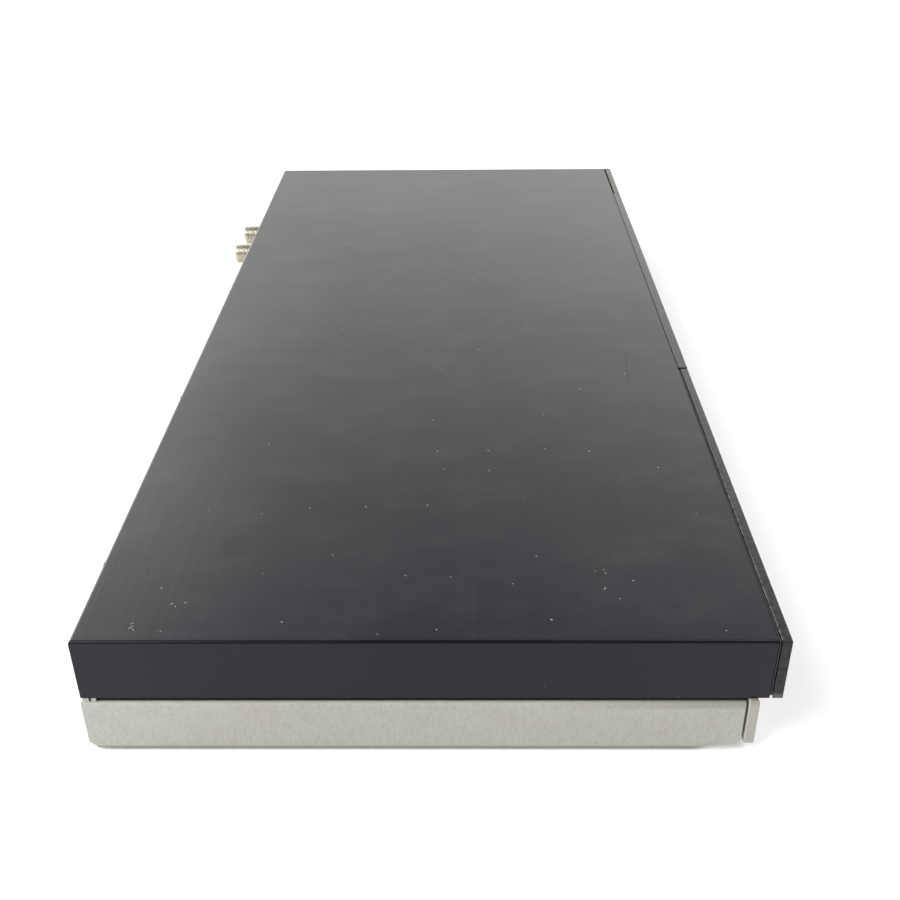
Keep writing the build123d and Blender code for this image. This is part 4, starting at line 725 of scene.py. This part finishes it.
# %% Sockets, fan and other mouldings
paint(moulded("socket_black", (0.022, 0.022, 0.023), 0.4), "optical_output", "av_jack")
inlet = moulded("inlet_black", (0.02, 0.02, 0.021), 0.42)
inlet_low, inlet_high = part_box("ac_inlet")
inlet_middle = (inlet_low + inlet_high) / 2
inlet_x, inlet_y, inlet_z = inlet.xyz()
pin_spacing = 0.0086
sideways = ((inlet_x - inlet_middle.x).size() - pin_spacing / 2).size()
rise = inlet_z - inlet_middle.z
pin = 1 - apart(sideways, rise).ramp(0.00125, 0.00132)
pin = pin * (inlet_y > inlet_low.y + 0.0012)
plastic = Value(inlet, inlet.shader.inputs["Base Color"].links[0].from_socket)
inlet.feed("Base Color", inlet.mix(pin, plastic, (0.7, 0.69, 0.66)))
inlet.feed("Metallic", pin)
paint(inlet, "ac_inlet")
paint(moulded("fan_black", (0.025, 0.025, 0.026), 0.45), "fan_housing", "fan_rotor")
paint(moulded("drive_plastic", (0.035, 0.035, 0.036), 0.5), "drive_chassis")
paint(moulded("tray_plastic", (0.045, 0.045, 0.046), 0.42, 2400.0), "disc_tray")
paint(moulded("clamp_plastic", (0.74, 0.74, 0.71), 0.4), "clamp_plate")
paint(moulded("gear_plastic", (0.74, 0.73, 0.67), 0.35), "drive_gear", "belt_pulley", "motor_pulley")
paint(moulded("turntable_plastic", (0.05, 0.05, 0.052), 0.4), "turntable")
paint(moulded("foot_rubber", (0.035, 0.035, 0.035), 0.75, 900.0), "foot_pads")
paint(moulded("damper_rubber", (0.04, 0.04, 0.04), 0.7, 900.0), "traverse_dampers")
paint(moulded("belt_rubber", (0.018, 0.018, 0.018), 0.6, 3000.0), "drive_belt")
paint(moulded("chip_epoxy", (0.022, 0.022, 0.023), 0.5, 4200.0), "board_chips")

# %% [markdown]
# A circuit board is glass cloth under green lacquer, with copper tracks that run in straight lanes.
# A real layout would be thousands of small shapes that nobody sees from outside. Bricks with thin
# joints, drawn at two sizes and angles, read as lanes, and round cells as pads. The power board is the
# cheaper brown kind with wide tracks.

# %% Circuit boards
def board(name, lacquer, track, width):
    """A board: lanes of copper under the lacquer, tinned pads, and the weave of the cloth."""
    finish = Finish(name, IOR=1.5, Coat_Weight=0.3, Coat_Roughness=0.15)
    flat = finish.place()
    weave = finish.noise(1.0, finish.place(scale=(2200.0, 300.0, 300.0))) * 0.5
    weave = weave + finish.noise(1.0, finish.place(scale=(300.0, 2200.0, 300.0))) * 0.5
    lanes = None
    for scale, turn in ((60.0 / width, 0.0), (95.0 / width, math.pi / 2)):
        mortar = finish.node(
            "ShaderNodeTexBrick", {},
            {"Vector": finish.place(turn=(0.0, 0.0, turn)), "Scale": scale, "Mortar Size": 0.045,
             "Brick Width": 1.4, "Row Height": 0.18}, out="Fac")
        lanes = mortar if lanes is None else lanes.most(mortar)
    patchy = finish.noise(60.0 / width, flat).ramp(0.42, 0.5)
    lanes = lanes * patchy
    pads = (1 - finish.cells(330.0 / width, flat, spread=0.6).ramp(0.12, 0.16)) * (1 - patchy)
    shade = finish.mix(weave, lacquer, dimmed(lacquer, 0.7))
    shade = finish.mix(lanes * 0.8, shade, track)
    finish.feed("Base Color", finish.mix(pads, shade, (0.62, 0.61, 0.58)))
    finish.feed("Metallic", pads * 0.9)
    finish.feed("Roughness", 0.38 + weave * 0.1 - pads * 0.1)
    finish.relief(lanes * 0.6 + pads, 0.00004, 0.8)
    return finish


paint(
    board("circuit_board", (0.018, 0.12, 0.045), (0.05, 0.24, 0.09), 1.0),
    "main_board", "key_board", "front_board", "disk_drive_board", "drive_board")
paint(board("power_phenolic", (0.34, 0.22, 0.10), (0.24, 0.15, 0.07), 2.4), "power_board")

# %% [markdown]
# The transformer is a dark ferrite core with yellow tape round its middle. The capacitor has a shrunk
# plastic sleeve with a pale stripe and a bare metal top. Each is one solid with two finishes, so masks
# by place split them.

# %% Transformer and capacitor
ferrite = Finish("ferrite", IOR=1.5)
core_low, core_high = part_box("transformer")
core_middle = (core_low + core_high) / 2
core_x, _, _ = ferrite.xyz()
tape = 1 - (core_x - core_middle.x).size().ramp(0.0072, 0.0074)
laps = ferrite.noise(1.0, ferrite.place(scale=(2200.0, 12.0, 12.0)), detail=2.0)
clay = ferrite.noise(900.0, detail=4.0)
core = ferrite.mix(clay, (0.03, 0.03, 0.032), (0.075, 0.075, 0.078))
yellow = ferrite.mix(laps, (0.72, 0.52, 0.10), (0.60, 0.40, 0.06))
ferrite.feed("Base Color", ferrite.mix(tape, core, yellow))
ferrite.feed("Roughness", 0.6 - tape * 0.3 + clay * 0.1)
ferrite.relief(clay * (1 - tape) + laps * tape * 0.4, 0.00004, 0.6)
paint(ferrite, "transformer")

sleeve = Finish("capacitor_sleeve", IOR=1.5)
can_low, can_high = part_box("mains_capacitor")
can_middle = (can_low + can_high) / 2
can_x, can_y, can_z = sleeve.xyz()
stripe = (can_x < can_middle.x - 0.004) * (1 - (can_y - can_middle.y).size().ramp(0.0022, 0.0024))
off_axis = apart(can_x - can_middle.x, can_y - can_middle.y)
bare = (can_z > can_high.z - 0.0003) * (1 - off_axis.ramp(0.0066, 0.0068))
print_dots = sleeve.noise(800.0, detail=3.0)
wrap = sleeve.mix(print_dots, (0.012, 0.018, 0.06), (0.02, 0.03, 0.09))
wrap = sleeve.mix(stripe, wrap, (0.62, 0.62, 0.60))
sleeve.feed("Base Color", sleeve.mix(bare, wrap, (0.62, 0.62, 0.63)))
sleeve.feed("Metallic", bare)
sleeve.feed("Roughness", 0.25 + print_dots * 0.1)
paint(sleeve, "mains_capacitor")

# %% [markdown]
# The flat cable is white film over parallel copper strips, which show as faint stripes along its run. A
# sine across the cable draws them at their real pitch of a millimetre. The lens is a small coated glass
# in a dark holder, told apart by its distance from the middle.

# %% Flat cable and lens
film = Finish("cable_white", IOR=1.5)
_, film_y, _ = film.xyz()
strip_pitch = 0.001
strips = ((film_y * (2 * math.pi / strip_pitch)).wave() * 0.5 + 0.5).ramp(0.35, 0.65)
creases = film.noise(120.0, detail=3.0)
copper = film.mix(creases, (0.56, 0.55, 0.51), (0.62, 0.61, 0.57))
film.feed("Base Color", film.mix(strips, (0.72, 0.72, 0.69), copper))
film.feed("Roughness", 0.4 + creases * 0.15)
film.relief(strips, 0.00005, 0.5)
paint(film, "flat_cable")

glass = Finish("lens_glass", IOR=1.6)
lens_low, lens_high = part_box("pickup_lens")
lens_middle = (lens_low + lens_high) / 2
lens_x, lens_y, _ = glass.xyz()
holder = apart(lens_x - lens_middle.x, lens_y - lens_middle.y).ramp(0.0030, 0.0031)
speckle = glass.noise(1500.0, detail=3.0)
dark = glass.mix(speckle, (0.02, 0.02, 0.02), (0.035, 0.035, 0.035))
glass.feed("Base Color", glass.mix(holder, (0.05, 0.08, 0.2), dark))
glass.feed("Roughness", 0.03 + holder * (0.4 + speckle * 0.1))
paint(glass, "pickup_lens")

# %% [markdown]
# New pieces start as a bmesh. The usual steps could be written out for each. This helper does them once:
# it merges doubled vertices, turns the faces outwards, makes the object with its place in its mesh, and
# hangs it on the body that carries it. A mark is closed as it is made and skips the merging. A second
# helper is a lathe, for what is round.

# %% Making a piece
smooth_below = math.radians(30.0)


def piece(bm, name, finish, body, seal=True):
    """Makes an object of a bmesh, smooth apart from its sharp edges, which rides on a body."""
    if seal:
        bmesh.ops.remove_doubles(bm, verts=bm.verts, dist=1e-6)
    bmesh.ops.recalc_face_normals(bm, faces=bm.faces)
    mesh = bpy.data.meshes.new(name)
    for edge in bm.edges:
        edge.smooth = len(edge.link_faces) == 2 and edge.calc_face_angle(0.0) < smooth_below
    for face in bm.faces:
        face.smooth = True
    bm.to_mesh(mesh)
    bm.free()
    mesh.materials.append(finish.material)
    made = bpy.data.objects.new(name, mesh)
    bpy.context.scene.collection.objects.link(made)
    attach(made, body)
    print(name, len(mesh.polygons), "faces")
    return made


def lathe(bm, outline, centre, steps=64):
    """Turns an outline of (radius, place along Y) round the Y axis through a centre."""
    start = [bm.verts.new((radius, along, 0.0)) for radius, along in outline]
    edges = [bm.edges.new(pair) for pair in zip(start, start[1:])]
    before = set(bm.verts) - set(start)
    bmesh.ops.spin(
        bm, geom=start + edges, cent=(0.0, 0.0, 0.0), axis=(0.0, 1.0, 0.0), angle=2 * math.pi, steps=steps,
        use_merge=True)
    made = [vert for vert in bm.verts if vert not in before]
    bmesh.ops.remove_doubles(bm, verts=made, dist=1e-7)
    made = [vert for vert in bm.verts if vert not in before]
    bmesh.ops.translate(bm, verts=made, vec=centre)


# %% [markdown]
# The antenna connectors are turned brass with nickel plating: a collar in the rear sheet, a fine
# thread of 32 to the inch, a chamfered end with a shallow dish, an insulator and the contact hole in
# its middle. On the real one they are turned on a lathe, so here half of one, cut along its axis, is
# spun. A screw thread could be spun with a rise. Rings look the same at this size and close without a
# seam.

# %% Antenna connectors
nickel = plated("nickel_plate", (0.72, 0.68, 0.55), 0.24, (300.0, 30.0, 300.0))
paint(nickel, "antenna_connectors")
print("nodes without a finish:", sorted(set(nodes) - set(finishes)))
nickel_low, nickel_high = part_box("antenna_connectors")
sheet_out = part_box("socket_panel")[1].y
collar_radius = 5.0 * MM
barrel_radius = 4.75 * MM
thread_depth = 0.28 * MM
root_radius = barrel_radius - thread_depth
pitch = 25.4 / 32 * MM
plain_end = 0.8 * MM
chamfer = 0.45 * MM
dish_radius = 3.4 * MM
dish_depth = 0.8 * MM
hole_radius = 0.6 * MM
hole_depth = 5.0 * MM
back = sheet_out - 0.8 * MM
tip = nickel_high.y
outline = [(0.0, back), (collar_radius, back), (collar_radius, sheet_out + 1.0 * MM)]
outline += [(barrel_radius, sheet_out + 1.2 * MM), (barrel_radius, sheet_out + 1.8 * MM)]
at = sheet_out + 1.9 * MM
while at + pitch < tip - plain_end:
    outline += [
        (root_radius, at + 0.25 * pitch), (root_radius, at + 0.4 * pitch),
        (barrel_radius, at + 0.75 * pitch), (barrel_radius, at + pitch)]
    at += pitch
outline += [
    (barrel_radius, tip - 0.5 * MM), (barrel_radius - chamfer, tip), (3.5 * MM, tip),
    (dish_radius, tip - 0.1 * MM), (dish_radius, tip - dish_depth), (0.75 * MM, tip - dish_depth),
    (hole_radius, tip - 1.0 * MM), (hole_radius, tip - hole_depth), (0.0, tip - hole_depth)]
bm = bmesh.new()
for column in (nickel_low.x + collar_radius, nickel_high.x - collar_radius):
    for row in (nickel_low.z + collar_radius, nickel_high.z - collar_radius):
        lathe(bm, outline, (column, 0.0, row))
connectors = piece(bm, "antenna_connectors_threaded", nickel, "case")
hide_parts("antenna_connectors")

# %% [markdown]
# Each of the two buttons carries a generic mark, printed in pale ink: a broken ring with a bar for
# power, and a triangle over a bar for eject. Ink has almost no thickness. A mask on the button would be
# thinner still, but blurred where the curve of the ring is small, so each mark is a thin solid that
# rides on its button.

# %% Marks on the buttons
ink = Finish("mark_ink", IOR=1.5)
ink_wear = ink.noise(2500.0, detail=3.0)
ink.feed("Base Color", ink.mix(ink_wear.ramp(0.4, 0.7), (0.62, 0.62, 0.60), (0.45, 0.45, 0.44)))
ink.feed("Roughness", 0.5 + ink_wear * 0.15)
ink_thickness = 0.05 * MM
ring_inner = 1.0 * MM
ring_outer = 1.25 * MM
half_gap = math.radians(32)
facing_front = Matrix.Rotation(math.pi / 2, 3, "X")


def thicken(bm):
    """Pulls flat faces out by the thickness of the ink."""
    grown = bmesh.ops.extrude_face_region(bm, geom=list(bm.faces))
    moved = [item for item in grown["geom"] if isinstance(item, bmesh.types.BMVert)]
    bmesh.ops.translate(bm, verts=moved, vec=(0.0, -ink_thickness, 0.0))


def flat_bar(bm, centre, width, height):
    """A flat upright rectangle that faces the front."""
    made = bmesh.ops.create_grid(bm, x_segments=1, y_segments=1, size=0.5)["verts"]
    bmesh.ops.scale(bm, verts=made, vec=(width, height, 1.0))
    bmesh.ops.rotate(bm, verts=made, cent=(0, 0, 0), matrix=facing_front)
    bmesh.ops.translate(bm, verts=made, vec=centre)


def draw_power(bm, x, y, z):
    """A ring with a gap at its top, and an upright bar in the gap."""
    rim = [bm.verts.new((0.0, 0.0, radius)) for radius in (ring_inner, ring_outer)]
    across = bm.edges.new(rim)
    bmesh.ops.rotate(bm, verts=rim, cent=(0, 0, 0), matrix=Matrix.Rotation(half_gap, 3, "Y"))
    bmesh.ops.spin(
        bm, geom=[*rim, across], cent=(0, 0, 0), axis=(0, 1, 0), angle=2 * math.pi - 2 * half_gap, steps=40)
    bmesh.ops.translate(bm, verts=bm.verts, vec=(x, y, z))
    flat_bar(bm, (x, y, z + 0.8 * MM), 0.25 * MM, 1.1 * MM)


def draw_eject(bm, x, y, z):
    """A triangle over a level bar."""
    tip = bmesh.ops.create_circle(bm, cap_ends=True, segments=3, radius=1.15 * MM)["verts"]
    bmesh.ops.rotate(bm, verts=tip, cent=(0, 0, 0), matrix=facing_front)
    bmesh.ops.translate(bm, verts=tip, vec=(x, y, z + 0.2 * MM))
    flat_bar(bm, (x, y, z - 0.85 * MM), 2.0 * MM, 0.35 * MM)


for name, draw in (("power", draw_power), ("eject", draw_eject)):
    low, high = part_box(name + "_button")
    middle = (low + high) / 2
    bm = bmesh.new()
    draw(bm, middle.x, low.y + 0.002 * MM, middle.z)
    thicken(bm)
    piece(bm, name + "_mark", ink, name + "_key", seal=False)

# %% [markdown]
# Contacts are what makes a socket look real from close by. The network socket has eight gilt springs
# that slant through its mouth. They could be painted on its wall, but a spring stands free, so each is a
# thin bar, turned before it is moved to its place.

# %% Contacts in the network socket
gilt = plated("contact_gilt", (0.83, 0.62, 0.26), 0.18, (200.0, 200.0, 200.0))
lan_low, lan_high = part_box("lan_socket")
lan_x = (lan_low.x + lan_high.x) / 2
spring_count = 8
spring_pitch = 1.02
spring_size = (0.35 * MM, 10.0 * MM, 0.3 * MM)
slant = Matrix.Rotation(math.radians(-14), 3, "X")
bm = bmesh.new()
for number in range(spring_count):
    at = lan_x + (number - (spring_count - 1) / 2) * spring_pitch * MM
    made = bmesh.ops.create_cube(bm, size=1.0)["verts"]
    bmesh.ops.scale(bm, verts=made, vec=spring_size)
    bmesh.ops.rotate(bm, verts=made, cent=(0, 0, 0), matrix=slant)
    bmesh.ops.translate(bm, verts=made, vec=(at, lan_low.y + 9.0 * MM, lan_high.z - 3.3 * MM))
piece(bm, "lan_contacts", gilt, "case")

# %% [markdown]
# The video socket and the socket behind the flap have a tongue with a row of flat contacts, which stand
# out by less than a tenth of a millimetre. A mask could gild the tongue there. Bars catch the light at
# their edges as the real ones do, and the broad ones behind the flap are rounded for it.

# %% Contacts on the two tongues
def bar(bm, low, high, bevel=0.0):
    """A bar between two corners, with its edges rounded where a bevel is given."""
    made = bmesh.ops.create_cube(bm, size=1.0)["verts"]
    size = Vector(high) - Vector(low)
    bmesh.ops.scale(bm, verts=made, vec=size)
    bmesh.ops.translate(bm, verts=made, vec=(Vector(low) + Vector(high)) / 2)
    if bevel:
        edges = list({edge for vert in made for edge in vert.link_edges})
        bmesh.ops.bevel(
            bm, geom=edges, offset=bevel, affect="EDGES", segments=2, profile=0.5, material=-1)


video_low, video_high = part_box("hdmi_socket")
video_x = (video_low.x + video_high.x) / 2
video_tongue_z = video_low.z + 3.8 * MM
video_count = 19
video_pitch = 0.5
bm = bmesh.new()
for number in range(video_count):
    at = video_x + (number - (video_count - 1) / 2) * video_pitch * MM
    bar(
        bm, (at - 0.13 * MM, video_low.y + 1.7 * MM, video_tongue_z - 0.02 * MM),
        (at + 0.13 * MM, video_low.y + 8 * MM, video_tongue_z + 0.06 * MM))
piece(bm, "hdmi_contacts", gilt, "case")

flap_low, flap_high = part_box("front_usb_socket")
flap_x = (flap_low.x + flap_high.x) / 2
flap_tongue_z = flap_low.z + 3.7 * MM
bm = bmesh.new()
for along in (-3.5, -1.0, 1.0, 3.5):
    at = flap_x + along * MM
    bar(
        bm, (at - 0.5 * MM, flap_low.y + 2.2 * MM, flap_tongue_z - 0.07 * MM),
        (at + 0.5 * MM, flap_low.y + 10.0 * MM, flap_tongue_z + 0.03 * MM), 0.02 * MM)
piece(bm, "usb_contacts", gilt, "case")

# %% [markdown]
# The box of the dressed recorder is printed. It should match the box of the solids, because a finish
# adds no size and every new piece lies inside the solids' box.

# %% Print the box of the scene
scene_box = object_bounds()
for corner in scene_box:
    print("corner of the scene's box, in mm:", [round(side / MM, 1) for side in corner])
